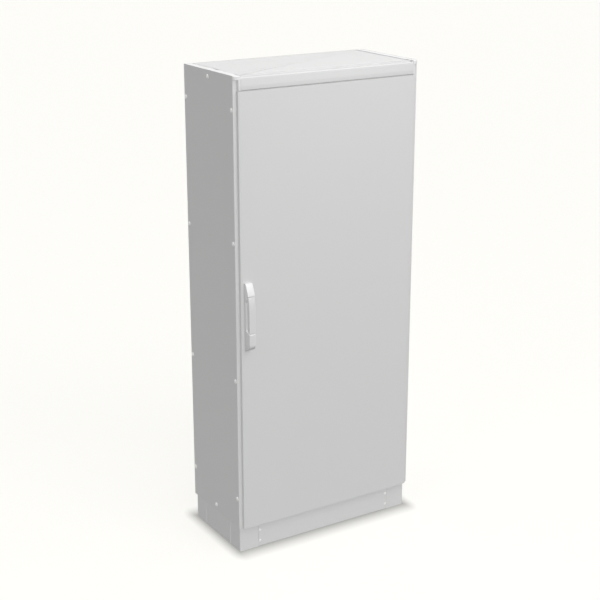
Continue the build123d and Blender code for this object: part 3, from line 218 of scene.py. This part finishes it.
def surface(name, *grids):
    """A piece from grids of places: each grid is a stack of closed rings, joined by quads from
    ring to ring, with both its end rings filled flat."""
    places, faces, shift = [], [], 0
    for grid in grids:
        rings = np.asarray(grid, float)
        count, around = rings.shape[:2]
        row = np.arange(count - 1)[:, None] * around
        start = row + np.arange(around)
        beside = row + (np.arange(around) + 1) % around
        quads = np.stack([start, beside, beside + around, start + around], axis=-1)
        caps = np.stack([np.arange(around)[::-1], (count - 1) * around + np.arange(around)])
        faces += (quads.reshape(-1, 4) + shift).tolist() + (caps + shift).tolist()
        places.append(rings.reshape(-1, 3))
        shift += count * around
    mesh = bpy.data.meshes.new(name)
    mesh.from_pydata(np.vstack(places), [], faces)
    mesh.validate()
    mesh.shade_smooth()
    mesh.set_sharp_from_angle(angle=SHARP_ANGLE)
    return added(name, mesh)


def pillow(name, outline, normals, low, high, radius, to_space, steps=7, keep=()):
    """An outline carried from low to high, drawn in along a quarter circle where it nears an end.

    Near the places in keep, which are sharp corners, it is drawn in less, so that it never
    crosses itself: by the distance over three radii, and by a tenth at the least."""
    share = np.ones(len(outline))
    for place in keep:
        away = np.linalg.norm(outline - place, axis=1)
        share = np.minimum(share, np.clip(away / (3 * radius), 0.1, 1))
    sweep = np.linspace(0, pi / 2, steps)
    rise, run = radius * np.sin(sweep), radius * np.cos(sweep)
    levels = np.concatenate([low + radius - run, high - radius + rise])
    insets = np.concatenate([radius - rise, radius - run])
    flat = outline[None] - insets[:, None, None] * (share[:, None] * normals)[None]
    return surface(name, to_space(flat, levels[:, None]))


def across_handle(flat, level):
    """From (distance out from the door, height) and a place across the handle to x, y and z."""
    x = HANDLE_X + np.broadcast_to(level, flat.shape[:2])
    return np.stack([x, DOOR_Y - flat[..., 0], flat[..., 1]], axis=-1)


def along_width(flat, level):
    """From (y, height) and a place across the cabinet to x, y and z."""
    x = np.broadcast_to(level, flat.shape[:2])
    return np.stack([x, flat[..., 0], flat[..., 1]], axis=-1)


def upward(flat, level):
    """From plan places and a height to x, y and z."""
    return np.concatenate([flat, np.broadcast_to(level, flat.shape[:2])[..., None]], axis=-1)


def bored(piece, middle, slope, radius, length):
    """Cuts a round bore: the piece less a cylinder that runs from a middle along a direction."""
    along = np.array(slope) / np.linalg.norm(slope)
    side = np.array([1.0, 0.0, 0.0])
    turn = np.linspace(0, 2 * pi, 64, endpoint=False)[:, None]
    spokes = np.cos(turn) * side + np.sin(turn) * np.cross(along, side)
    ring = np.array(middle) + radius * spokes
    cutter = surface("bore_cutter", [ring, ring + length * along])
    cut = piece.modifiers.new("bore", "BOOLEAN")
    cut.operation = "DIFFERENCE"
    cut.solver = "EXACT"
    cut.object = cutter
    bpy.context.view_layer.update()
    whole = piece.evaluated_get(bpy.context.evaluated_depsgraph_get())
    mesh = bpy.data.meshes.new_from_object(whole)
    mesh.set_sharp_from_angle(angle=SHARP_ANGLE)
    piece.modifiers.clear()
    piece.data = mesh
    bpy.data.objects.remove(cutter)


def finished(piece, material, body, slot, *nodes):
    """Gives a piece its material, lets it ride on its body and hides the CAD nodes it replaces."""
    piece.data.materials.clear()
    piece.data.materials.append(bpy.data.materials[material])
    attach(piece, body)
    if nodes:
        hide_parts(*nodes)


def plain_material(name, color, roughness, metallic=0.0, specular=0.5):
    """A principled material with its constants on the shader's own sockets: its tree and shader."""
    material = bpy.data.materials.new(name)
    material.use_nodes = True
    shader = material.node_tree.nodes["Principled BSDF"]
    shader.inputs["Base Color"].default_value = (*color, 1.0)
    shader.inputs["Roughness"].default_value = roughness
    shader.inputs["Metallic"].default_value = metallic
    shader.inputs["Specular IOR Level"].default_value = specular
    return material.node_tree, shader


def add_bump(tree, shader, height, distance, strength):
    """Links a height to the shader's normal through a bump node."""
    bump = tree.nodes.new("ShaderNodeBump")
    bump.inputs["Distance"].default_value = distance
    bump.inputs["Strength"].default_value = strength
    tree.links.new(height, bump.inputs["Height"])
    tree.links.new(bump.outputs["Normal"], shader.inputs["Normal"])


def noise(tree, scale, detail, stretch=(1.0, 1.0, 1.0)):
    """A noise pattern on the piece's own coordinates."""
    place = tree.nodes.new("ShaderNodeTexCoord")
    mapping = tree.nodes.new("ShaderNodeMapping")
    mapping.inputs["Scale"].default_value = stretch
    pattern = tree.nodes.new("ShaderNodeTexNoise")
    pattern.inputs["Scale"].default_value = scale
    pattern.inputs["Detail"].default_value = detail
    tree.links.new(place.outputs["Object"], mapping.inputs["Vector"])
    tree.links.new(mapping.outputs["Vector"], pattern.inputs["Vector"])
    return pattern.outputs["Fac"]


def ramp_between(tree, factor, low, high):
    """A value from low to high, as the factor crosses a pattern's middle range, 0.3 to 0.7."""
    remap = tree.nodes.new("ShaderNodeMapRange")
    remap.inputs["From Min"].default_value = 0.3
    remap.inputs["From Max"].default_value = 0.7
    remap.inputs["To Min"].default_value = low
    remap.inputs["To Max"].default_value = high
    tree.links.new(factor, remap.inputs["Value"])
    return remap.outputs["Result"]


def tinted(tree, shader, color, factor, spread):
    """Lets the colour wander by a share, the spread, either side of its value."""
    mix = tree.nodes.new("ShaderNodeMix")
    mix.data_type = "RGBA"
    mix.inputs["A"].default_value = (*[c * (1 - spread) for c in color], 1.0)
    mix.inputs["B"].default_value = (*[min(1.0, c * (1 + spread)) for c in color], 1.0)
    tree.links.new(factor, mix.inputs["Factor"])
    tree.links.new(mix.outputs["Result"], shader.inputs["Base Color"])


def toned(color, share):
    """A lighter or darker colour: a share of each of its three values."""
    return [share * value for value in color]


def powder_coat(name, color, roughness=0.65):
    """Powder coat: an even colour over a very fine orange peel."""
    tree, shader = plain_material(name, color, roughness, specular=0.15)
    peel = noise(tree, scale=900.0, detail=2.0)
    add_bump(tree, shader, peel, distance=0.00006, strength=0.35)
    tinted(tree, shader, color, noise(tree, scale=3.0, detail=3.0), spread=0.006)


def moulded_plastic(name, color, roughness):
    """Moulded plastic with a fine spark-eroded grain."""
    tree, shader = plain_material(name, color, roughness)
    grain = noise(tree, scale=2600.0, detail=1.0)
    add_bump(tree, shader, grain, distance=0.00003, strength=0.3)


def zinc_plate(name, color, roughness):
    """Zinc-plated steel with faint clouds in its gloss."""
    tree, shader = plain_material(name, color, roughness, metallic=1.0)
    clouds = noise(tree, scale=60.0, detail=4.0)
    gloss = ramp_between(tree, clouds, roughness - 0.05, roughness + 0.08)
    tree.links.new(gloss, shader.inputs["Roughness"])
    grain = noise(tree, scale=1500.0, detail=2.0)
    add_bump(tree, shader, grain, distance=0.00003, strength=0.25)


def galvanised_sheet(name, color):
    """Galvanised sheet: flat crystals, each with its own grey and gloss."""
    tree, shader = plain_material(name, color, roughness=0.4, metallic=1.0)
    place = tree.nodes.new("ShaderNodeTexCoord")
    cells = tree.nodes.new("ShaderNodeTexVoronoi")
    cells.inputs["Scale"].default_value = 130.0
    grey = tree.nodes.new("ShaderNodeSeparateColor")
    tree.links.new(place.outputs["Object"], cells.inputs["Vector"])
    tree.links.new(cells.outputs["Color"], grey.inputs["Color"])
    tinted(tree, shader, color, grey.outputs["Red"], spread=0.10)
    gloss = ramp_between(tree, grey.outputs["Green"], low=0.34, high=0.46)
    tree.links.new(gloss, shader.inputs["Roughness"])


def turned_metal(name, color, roughness):
    """Machined metal with fine marks across the piece."""
    tree, shader = plain_material(name, color, roughness, metallic=1.0)
    marks = noise(tree, scale=300.0, detail=3.0, stretch=(1.0, 1.0, 14.0))
    add_bump(tree, shader, marks, distance=0.00003, strength=0.3)


def rubber_seal(name, color, roughness):
    """Foamed or moulded rubber with a fine pored skin."""
    tree, shader = plain_material(name, color, roughness, specular=0.3)
    pores = noise(tree, scale=1800.0, detail=2.0)
    add_bump(tree, shader, pores, distance=0.00008, strength=0.4)


class CABINET_OT_finishes(bpy.types.Operator):
    """Make every finish and give it to the CAD nodes of its slot"""

    bl_idname = "cabinet.finishes"
    bl_label = "Finishes"

    def execute(self, context):
        user = settings()
        for plain in list(bpy.data.materials):
            plain.name = f"cad_{plain.name}"
        powder_coat("shell_paint", user.paint)
        # The plinth's lighter paint is painted light against the shade under the overhanging body
        powder_coat("plinth_paint", user.plinth_paint)
        powder_coat("frame_paint", toned(user.paint, FRAME_TONE), roughness=0.5)
        # The shell's paint made lighter for the roof rails: a painted highlight along the roof's
        # edges
        powder_coat("rail_paint_highlit", toned(user.paint, RAIL_HIGHLIGHT_TONE))
        moulded_plastic("handle_plastic", user.plastic, roughness=0.32)
        # The handle's plastic made lighter for the head: a painted highlight on its upward-leaning
        # face
        moulded_plastic("head_plastic_highlit", toned(user.plastic, HEAD_HIGHLIGHT_TONE), roughness=0.32)
        moulded_plastic("cap_plastic", toned(user.paint, CAP_TONE), roughness=0.5)
        powder_coat("screw_white", (0.72, 0.72, 0.71), roughness=0.4)
        zinc_plate("zinc_steel", (0.56, 0.57, 0.59), roughness=0.33)
        galvanised_sheet("galvanised", (0.58, 0.59, 0.60))
        turned_metal("bright_steel", (0.64, 0.64, 0.65), roughness=0.28)
        rubber_seal("seal_rubber", (0.035, 0.035, 0.037), roughness=0.75)
        rubber_seal("grommet_rubber", (0.05, 0.05, 0.052), roughness=0.6)
        turned_metal("bar_brass", (0.72, 0.52, 0.22), roughness=0.3)
        turned_metal("lock_chrome", (0.66, 0.66, 0.67), roughness=0.2)
        for entry in frame["record"]["subparts"]:
            node = frame["nodes"][entry["node"]]
            node.data.materials.clear()
            node.data.materials.append(bpy.data.materials[entry["material_slot"]])
        # The roof rails take the lighter copy of the shell paint, a painted highlight
        for name in ("roof_rail_left", "roof_rail_right"):
            frame["nodes"][name].data.materials[0] = bpy.data.materials["rail_paint_highlit"]
        return {"FINISHED"}


class CABINET_OT_handle_base(bpy.types.Operator):
    """Mould the handle base: a plate against the door with the lock block at its foot"""

    bl_idname = "cabinet.handle_base"
    bl_label = "Handle base"

    def execute(self, context):
        foot, deep = BASE_LOW[2], DOOR_Y - BASE_LOW[1]
        block_top = LEVER_END - LEVER_GAP
        slope = (deep - HANDLE_PLATE) * LEVER_CUT / LEVER_DEPTH
        outline, normals = rounded_outline([
            (0.0, foot, 0.0019),
            (deep, foot + BLOCK_SLANT, 0.024),
            (deep, block_top, 0.0045),
            (HANDLE_PLATE, block_top + slope, 0.008),
            (HANDLE_PLATE, HANDLE_TOP, 0.0022),
            (0.0, HANDLE_TOP, 0.0019),
        ])
        half, edge = (BASE_HIGH[0] - BASE_LOW[0]) / 2, 0.0018
        piece = pillow("handle_base_moulding", outline, normals, -half, half, edge, across_handle)
        low, high = np.array(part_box("lock_insert"))
        bored(piece, (low + high) / 2, INSERT_AXIS, BORE_RADIUS, BORE_LENGTH)
        finished(piece, "handle_plastic", "door", "handle_plastic", "handle_base")
        return {"FINISHED"}


class CABINET_OT_handle_lever(bpy.types.Operator):
    """Mould the lever: a grip, round at its hinge and cut off slanted above the lock block"""

    bl_idname = "cabinet.handle_lever"
    bl_label = "Handle lever"

    def execute(self, context):
        low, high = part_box("handle_lever")
        front, back = DOOR_Y - low[1], DOOR_Y - high[1]
        half_depth = (front - back) / 2
        # The two arcs of the round top just miss each other
        round_top, round_end = half_depth - 0.00002, 0.0025
        outline, _ = rounded_outline([
            (back, LEVER_END + LEVER_CUT, round_end),
            (front, LEVER_END, round_end),
            (front, PIVOT_Z + half_depth, round_top),
            (back, PIVOT_Z + half_depth, round_top),
        ])
        # More places up the straight front, for the bow
        steps = np.linspace(LEVER_END + 0.01, PIVOT_Z - 0.001, 40)
        start = np.argmin(np.hypot(outline[:, 0] - front, outline[:, 1] - steps[0]))
        straight = np.stack([np.full(len(steps), front), steps], axis=-1)
        outline = np.insert(outline, start + 1, straight, axis=0)
        # The front bows back by its depth times the square of the way up its length, which starts
        # below the hinge and ends above it. A soft minimum, -b log(exp(-u / b) + exp(-v / b)),
        # joins the bowed line to the outline, and its loss is given back lower down.
        way = outline[:, 1] - PIVOT_Z - BOW_START
        bow = BOW_DEPTH * np.clip(way / BOW_LENGTH, 0, 1) ** 2
        blend, loss = 0.0007, 0.0005
        both = np.exp(-outline[:, 0] / blend) + np.exp(-(front - bow) / blend)
        outline[:, 0] = -blend * np.log(both)
        outline[:, 0] += np.clip(loss - bow, 0, None)
        # The sharp corner where the bowed front meets the round top
        tip = (front - 0.0072, PIVOT_Z + 0.0081)
        half = (high[0] - low[0]) / 2
        piece = pillow(
            "handle_lever_moulding", outline, outward(outline), -half, half,
            settings().edge_radius, across_handle, keep=[tip],
        )
        finished(piece, "handle_plastic", "lever", "handle_plastic", "handle_lever")
        return {"FINISHED"}


class CABINET_OT_handle_head(bpy.types.Operator):
    """Mould the handle head: a swept back and a round seat for the lever's top"""

    bl_idname = "cabinet.handle_head"
    bl_label = "Handle head"

    def execute(self, context):
        low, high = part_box("handle_head")
        front, near = DOOR_Y - low[1] - HEAD_STEP, DOOR_Y - high[1]
        # The back is a curve with one handle: (1 - t)^2 start + 2 t (1 - t) bulge + t^2 end
        start = np.array([0.0148, HANDLE_TOP - 0.0004])
        bulge = np.array([front - 0.0045, PIVOT_Z + 0.0342])
        end = np.array([front, PIVOT_Z + 0.0122])
        sweep = np.linspace(0.0, 1.0, 40)[:, None]
        back = (1 - sweep) ** 2 * start + 2 * sweep * (1 - sweep) * bulge + sweep ** 2 * end
        back = np.vstack([[near, HANDLE_TOP - 0.0002], back])
        # A quarter circle rounds its lower end, and the seat is an arc about the lever's pin
        turn, lip_radius = np.linspace(0, pi / 2, 8), 0.0024
        lip = end + lip_radius * np.stack([np.cos(turn) - 1, -np.sin(turn)], axis=-1)
        arc = np.linspace(radians(100), radians(180), 40)
        seat = np.stack(
            [PIVOT_OUT + SEAT_RADIUS * np.cos(arc), PIVOT_Z + SEAT_RADIUS * np.sin(arc)], axis=-1
        )
        foot = np.array([
            [PIVOT_OUT - SEAT_RADIUS, PIVOT_Z - 0.005],
            [PIVOT_OUT - SEAT_RADIUS - 0.001, PIVOT_Z - 0.0065],
            [near + 0.001, PIVOT_Z - 0.0155],
            [near, PIVOT_Z - 0.0148],
        ])
        outline = np.vstack([back[::-1], foot[::-1], seat[::-1], lip[:0:-1]])
        half, edge = (high[0] - low[0]) / 2 + HEAD_MARGIN, 0.0014
        piece = pillow(
            "handle_head_moulding", outline, outward(outline), -half, half, edge, across_handle,
            keep=[start, foot[-1], (near, HANDLE_TOP)],
        )
        # The head takes the lighter copy of the handle plastic, a painted highlight
        finished(piece, "head_plastic_highlit", "handle", "handle_plastic", "handle_head")
        return {"FINISHED"}


class CABINET_OT_roof(bpy.types.Operator):
    """Fold the roof plate: a shallow pan with a rounded top edge and three notches a side"""

    bl_idname = "cabinet.roof"
    bl_label = "Roof plate"

    def execute(self, context):
        low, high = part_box("roof_plate")
        bend, margin, corner = 0.0025, 0.012, 0.0012
        centers = FRONT_Y + (REAR_Y - FRONT_Y) * np.array(NOTCH_SHARES)
        starts = np.clip(centers - NOTCH_HALF, low[1] + margin, None)
        ends = np.clip(centers + NOTCH_HALF, None, high[1] - margin)
        edge, inner = high[0], high[0] - NOTCH_DEPTH
        right = [(edge, low[1])]
        for start, end in zip(starts, ends):
            right += [(edge, start), (inner, start), (inner, end), (edge, end)]
        right.append((edge, high[1]))
        left = [(-x, y) for x, y in right[::-1]]
        outline, normals = rounded_outline([(x, y, corner) for x, y in right + left])
        # From the pan's hollow underside out round its rim and in along the quarter-circle bend
        sweep = np.linspace(0, pi / 2, 7)
        rim = high[2] - bend + bend * np.sin(sweep)
        levels = np.concatenate([[high[2] - SHEET, low[2], low[2]], rim])
        insets = np.concatenate([[SHEET, SHEET, 0.0], bend - bend * np.cos(sweep)])
        flat = outline[None] - insets[:, None, None] * normals[None]
        piece = surface("roof_pan", upward(flat, levels[:, None]))
        finished(piece, "shell_paint", "cabinet", "shell_paint", "roof_plate")
        return {"FINISHED"}


def lean_at(z):
    """How far the fascia leans back at a height: nothing up to the top of its lip, then evenly."""
    return FASCIA_LEAN * np.clip((z - FASCIA_LIP) / (FASCIA_HIGH[2] - FASCIA_LIP), 0, 1)


class CABINET_OT_fascia(bpy.types.Operator):
    """Fold the fascia: an upright lip, a face that leans back a little and a rounded top edge"""

    bl_idname = "cabinet.fascia"
    bl_label = "Fascia"

    def execute(self, context):
        sheet, edge, seam = 0.0018, 0.0003, 0.0003
        y, back = FASCIA_LOW[1], FASCIA_HIGH[1]
        low, high = FASCIA_LOW[2], FASCIA_HIGH[2] - FASCIA_STEP
        tip, tail = y + FASCIA_LEAN, FRONT_Y - 0.0002
        outline, normals = rounded_outline([
            (tail, high, edge),
            (tip, high, 0.0055),
            (y, FASCIA_LIP, 0.03),
            (y, low, 0.0024),
            (back, low, edge),
            (back, low + sheet, edge),
            (y + sheet, low + sheet, 0.0006),
            (y + sheet, FASCIA_LIP, 0.028),
            (tip + sheet, high - sheet, 0.0037),
            (tail, high - sheet, edge),
        ])
        reach = PANEL_X - CAP_WIDTH - seam
        piece = pillow(
            "fascia_sheet", outline, normals, -reach, reach, edge, along_width, steps=3
        )
        finished(piece, "shell_paint", "cabinet", "shell_paint", "fascia")
        return {"FINISHED"}


class CABINET_OT_corner_caps(bpy.types.Operator):
    """Mould the two roof corner caps, a quarter ellipse in plan, each with its tongue"""

    bl_idname = "cabinet.corner_caps"
    bl_label = "Corner caps"

    def execute(self, context):
        for side, word in ((1, "left"), (-1, "right")):
            node = f"roof_corner_cap_{word}"
            low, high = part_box(node)
            outer = low[0] if side > 0 else high[0]
            front, back = low[1], high[1]
            start, inset = FRONT_Y + 0.0022, 0.0017
            sweep = np.linspace(0, pi / 2, 30)
            across = CAP_WIDTH - CAP_WIDTH * np.cos(sweep)
            curve = np.stack([across, start - (start - front) * np.sin(sweep)], axis=-1)
            rest, _ = rounded_outline([
                (CAP_WIDTH, FRONT_Y - 0.004, 0.0002),
                (CAP_WIDTH, back, 0.0012),
                (inset, back, 0.0012),
                (inset, start, 0.0002),
            ])
            outline = np.vstack([curve, rest])
            bottom = high[2] - CAP_HEIGHT
            cap = self.moulded(
                f"cap_top_{word}", outline, outward(outline), side, outer, bottom, high[2],
                radius=0.003,
            )
            finished(cap, "cap_plastic", "cabinet", "cap_plastic")
            far, near, tail = 0.0183, 0.0257, FRONT_Y + 0.0003
            tongue, normals = rounded_outline([
                (far, tail, 0.0002),
                (far, front + 0.0038, 0.0014),
                (near, front + 0.0006, 0.0005),
                (near, tail, 0.0002),
            ])
            strip = self.moulded(
                f"cap_tongue_{word}", tongue, normals, side, outer, low[2], bottom, radius=0.0
            )
            finished(strip, "cap_plastic", "cabinet", "cap_plastic")
            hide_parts(node)
        return {"FINISHED"}

    def moulded(self, name, outline, normals, side, outer, low, high, radius):
        """A plan outline carried upward and mirrored for the right side. It leans back with the
        fascia, in full from 15 mm out, and is drawn in along a quarter circle at its top edge,
        least towards the body."""
        sweep = np.linspace(0, pi / 2, 8)
        if radius:
            levels = np.concatenate([[low], high - radius + radius * np.sin(sweep)])
            insets = np.concatenate([[0.0], radius - radius * np.cos(sweep)])
        else:
            levels, insets = np.linspace(low, high, 12), np.zeros(12)
        share = np.clip(np.maximum(-normals[:, 1], -normals[:, 0]), 0.12, 1.0)
        flat = outline[None] - insets[:, None, None] * (share[:, None] * normals)[None]
        full_lean = 0.015
        out = np.clip((FRONT_Y - flat[..., 1]) / full_lean, 0, 1)
        flat[..., 1] += lean_at(levels)[:, None] * out
        flat[..., 0] = outer + side * flat[..., 0]
        if side < 0:
            flat = flat[:, ::-1]
        return surface(name, upward(flat, levels[:, None]))


def domed_head(head, rise, socket, depth, around, rim=0.0002):
    """Rings of a domed screw head about the z axis, from its foot to the floor of its socket.

    Inwards from the rim the height is rim + (rise - rim) x sqrt(1 - (radius / head)^2). The last
    two rings swap their circle for a hexagon: cos 30 over the cosine of the angle from the
    nearest flat's middle."""
    arc = head - (head - socket) * np.linspace(0.0, 1.0, 8)
    dome = rim + (rise - rim) * np.sqrt(1 - (arc / head) ** 2 * 0.999)
    radii = np.concatenate([[head], arc, [socket * 0.93, socket * 0.9]])
    heights = np.concatenate([[0.0], dome, [rise - rim, rise - depth]])
    angle = np.linspace(0, 2 * pi, around, endpoint=False)
    radius = radii[:, None] * np.ones(around)
    radius[-2:] *= np.cos(pi / 6) / np.cos((angle + pi / 6) % (pi / 3) - pi / 6)
    height = heights[:, None] * np.ones(around)
    return np.stack([radius * np.cos(angle), radius * np.sin(angle), height], axis=-1)


def placed(rings, turn, spot):
    """The same rings turned about the origin and then moved to a spot."""
    return rings @ np.array(Euler(turn).to_matrix()).T + np.array(spot)


def middles(node, gap=0.02):
    """The middles of a CAD node's separate solids: its places, split wherever a gap along x, y
    or z is wider than the gap given, and once more, as one split can open another."""
    mesh = frame["nodes"][node].data
    places = np.empty(len(mesh.vertices) * 3)
    mesh.vertices.foreach_get("co", places)
    groups = [np.unique(np.round(places.reshape(-1, 3), 5), axis=0)]
    for axis in (0, 1, 2, 0, 1, 2):
        parts = []
        for group in groups:
            order = group[np.argsort(group[:, axis])]
            cuts = np.where(np.diff(order[:, axis]) > gap)[0] + 1
            parts.extend(np.split(order, cuts))
        groups = parts
    return [(group.min(0) + group.max(0)) / 2 for group in groups]


class CABINET_OT_panel_screws(bpy.types.Operator):
    """Turn the domed screws of the side and rear panels and of the plinth, with hexagon sockets"""

    bl_idname = "cabinet.panel_screws"
    bl_label = "Panel screws"

    def execute(self, context):
        large, small = domed_head(**SIDE_SCREW), domed_head(**PLINTH_SCREW)
        sides, rear, plinth = [], [], []
        for x, y, z in middles("side_panel_screws"):
            side = np.sign(x)
            sides.append(placed(large, (0, side * pi / 2, 0), (side * PANEL_X, y, z)))
        for x, _, z in middles("rear_panel_screws"):
            rear.append(placed(large, (-pi / 2, 0, 0), (x, REAR_Y, z)))
        for x, y, z in middles("plinth_panel_screws"):
            side = np.sign(y)
            plinth.append(placed(small, (-side * pi / 2, 0, 0), (x, side * PLINTH_HALF_Y, z)))
        piece = surface("side_screw_heads", *sides)
        finished(piece, "screw_white", "cabinet", "shell_paint", "side_panel_screws")
        piece = surface("rear_screw_heads", *rear)
        finished(piece, "screw_white", "cabinet", "shell_paint", "rear_panel_screws")
        piece = surface("plinth_screw_heads", *plinth)
        finished(piece, "screw_white", "cabinet", "zinc_steel", "plinth_panel_screws")
        return {"FINISHED"}


def seen(tree):
    """One where a surface is seen by the camera or mirrored, nought where it only gives light."""
    path = tree.nodes.new("ShaderNodeLightPath")
    either = tree.nodes.new("ShaderNodeMath")
    either.operation = "MAXIMUM"
    tree.links.new(path.outputs["Is Camera Ray"], either.inputs[0])
    tree.links.new(path.outputs["Is Glossy Ray"], either.inputs[1])
    return either.outputs["Value"]


def chained(tree, kind, value, steps):
    """A value put through math nodes, one operation and its other value after the next."""
    for operation, other in steps:
        step = tree.nodes.new(kind)
        step.operation = operation
        tree.links.new(value, step.inputs[0])
        if other is not None:
            step.inputs[1].default_value = other
        value = step.outputs[0]
    return value


def painted_contact_shadow(tree):
    """A painted shadow on the floor, the light it leaves: 1 - depth (1 - d / reach) ^ power, at a
    distance d from the plinth's rectangle that counts less in front and behind, where the body hangs
    over."""
    place = tree.nodes.new("ShaderNodeTexCoord").outputs["Object"]
    place = chained(tree, "ShaderNodeVectorMath", place, (
        ("ABSOLUTE", None),
        ("SUBTRACT", (PLINTH_HALF_X, PLINTH_HALF_Y, 0.0)),
        ("MAXIMUM", (0, 0, 0)),
        ("MULTIPLY", (0.82, 0.5, 0.0)),
    ))
    away = tree.nodes.new("ShaderNodeVectorMath")
    away.operation = "LENGTH"
    tree.links.new(place, away.inputs[0])
    return chained(tree, "ShaderNodeMath", away.outputs["Value"], (
        ("MULTIPLY", -1 / SHADE_REACH),
        ("ADD", 1.0),
        ("MAXIMUM", 0.0),
        ("POWER", SHADE_POWER),
        ("MULTIPLY", -SHADE_DEPTH),
        ("ADD", 1.0),
    ))


def scaled(tree, color, scale):
    """A colour times a value."""
    step = tree.nodes.new("ShaderNodeVectorMath")
    step.operation = "SCALE"
    step.inputs[0].default_value = color
    tree.links.new(scale, step.inputs["Scale"])
    return step.outputs["Vector"]


class CABINET_OT_stage(bpy.types.Operator):
    """Set the floor, the light and the camera of the photograph"""

    bl_idname = "cabinet.stage"
    bl_label = "Stage"

    def execute(self, context):
        scene = context.scene
        scene.view_settings.view_transform = "Standard"
        self.lay_floor()
        scene.world = self.studio()
        self.hang_lamps()
        view = bpy.data.cameras.new("photo_camera")
        view.lens = settings().lens
        view.sensor_width = 36.0
        scene.camera = added("photo_camera", view, CAMERA_PLACE, CAMERA_TURN)
        return {"FINISHED"}

    def lay_floor(self):
        """A wide pale floor that glows a little and has a painted shadow towards the plinth; where it
        only gives light it is an even, darker grey."""
        far = FLOOR_REACH
        corners = [(-far, -far, 0), (far, -far, 0), (far, far, 0), (-far, far, 0)]
        mesh = bpy.data.meshes.new("floor")
        mesh.from_pydata(corners, [], [(0, 1, 2, 3)])
        floor = added("floor", mesh)
        tree, shader = plain_material("pale_floor", FLOOR_BOUNCE, roughness=1.0, specular=0.0)
        # Painted shadow: darkens the floor's seen colour and glow towards the plinth
        shade = painted_contact_shadow(tree)
        mix = tree.nodes.new("ShaderNodeMix")
        mix.data_type = "RGBA"
        mix.inputs["A"].default_value = (*FLOOR_BOUNCE, 1.0)
        tree.links.new(seen(tree), mix.inputs["Factor"])
        tree.links.new(scaled(tree, FLOOR_COLOR, shade), mix.inputs["B"])
        tree.links.new(mix.outputs["Result"], shader.inputs["Base Color"])
        glow = scaled(tree, FLOOR_GLOW, shade)
        tree.links.new(glow, shader.inputs["Emission Color"])
        tree.links.new(seen(tree), shader.inputs["Emission Strength"])
        mesh.materials.append(bpy.data.materials["pale_floor"])

    def studio(self):
        """A world that lights evenly, with a warm white backdrop where it is seen."""
        world = bpy.data.worlds.new("studio")
        world.use_nodes = True
        tree = world.node_tree
        even = tree.nodes["Background"]
        even.inputs["Color"].default_value = (1.0, 1.0, 1.0, 1.0)
        even.inputs["Strength"].default_value = settings().sky
        backdrop = tree.nodes.new("ShaderNodeBackground")
        backdrop.inputs["Color"].default_value = (*BACKDROP, 1.0)
        mix = tree.nodes.new("ShaderNodeMixShader")
        tree.links.new(seen(tree), mix.inputs["Fac"])
        tree.links.new(even.outputs["Background"], mix.inputs[1])
        tree.links.new(backdrop.outputs["Background"], mix.inputs[2])
        tree.links.new(mix.outputs["Shader"], tree.nodes["World Output"].inputs["Surface"])
        return world

    def hang_lamps(self):
        """A key light from the front, most of it without shadows, a ring of fills and a softbox."""
        user = settings()
        even = 1 - KEY_SHADOWED
        suns = [
            ("key_light", KEY_SHADOWED * user.key, KEY_RISE, KEY_AROUND, True),
            ("even_key_light", even * user.key, KEY_RISE, KEY_AROUND, False),
        ]
        for i in range(FILL_COUNT):
            around = 360 / FILL_COUNT * (i + 0.5)
            suns.append((f"fill_light_{i}", user.fill, FILL_RISE, around, False))
        for name, energy, rise, around, shadow in suns:
            lamp = bpy.data.lights.new(name, "SUN")
            lamp.energy = energy
            lamp.angle = SUN_SPREAD
            lamp.use_shadow = shadow
            added(name, lamp, turn=(radians(90 - rise), 0, radians(around)))
        lamp = bpy.data.lights.new("softbox", "AREA")
        lamp.energy = user.softbox
        lamp.shape = "DISK"
        lamp.size = SOFTBOX_SIZE
        added("softbox", lamp, SOFTBOX_PLACE, SOFTBOX_TURN)


class CABINET_PT_panel(bpy.types.Panel):
    """The cabinet's settings and steps"""

    bl_idname = "CABINET_PT_panel"
    bl_label = "Cabinet"
    bl_space_type = "VIEW_3D"
    bl_region_type = "UI"
    bl_category = "Cabinet"

    def draw(self, context):
        for name in CabinetSettings.__annotations__:
            self.layout.prop(context.scene.cabinet, name)
        for step in STEPS:
            self.layout.operator(step.bl_idname)


STEPS = (
    CABINET_OT_finishes,
    CABINET_OT_handle_base,
    CABINET_OT_handle_lever,
    CABINET_OT_handle_head,
    CABINET_OT_roof,
    CABINET_OT_fascia,
    CABINET_OT_corner_caps,
    CABINET_OT_panel_screws,
    CABINET_OT_stage,
)
CLASSES = (CabinetSettings, *STEPS, CABINET_PT_panel)


def register():
    for cls in CLASSES:
        bpy.utils.register_class(cls)
    bpy.types.Scene.cabinet = bpy.props.PointerProperty(type=CabinetSettings)


def unregister():
    del bpy.types.Scene.cabinet
    for cls in reversed(CLASSES):
        bpy.utils.unregister_class(cls)


def main():
    """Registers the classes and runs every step."""
    register()
    for step in STEPS:
        group, name = step.bl_idname.split(".")
        getattr(getattr(bpy.ops, group), name)()


if __name__ == "__main__":
    main()
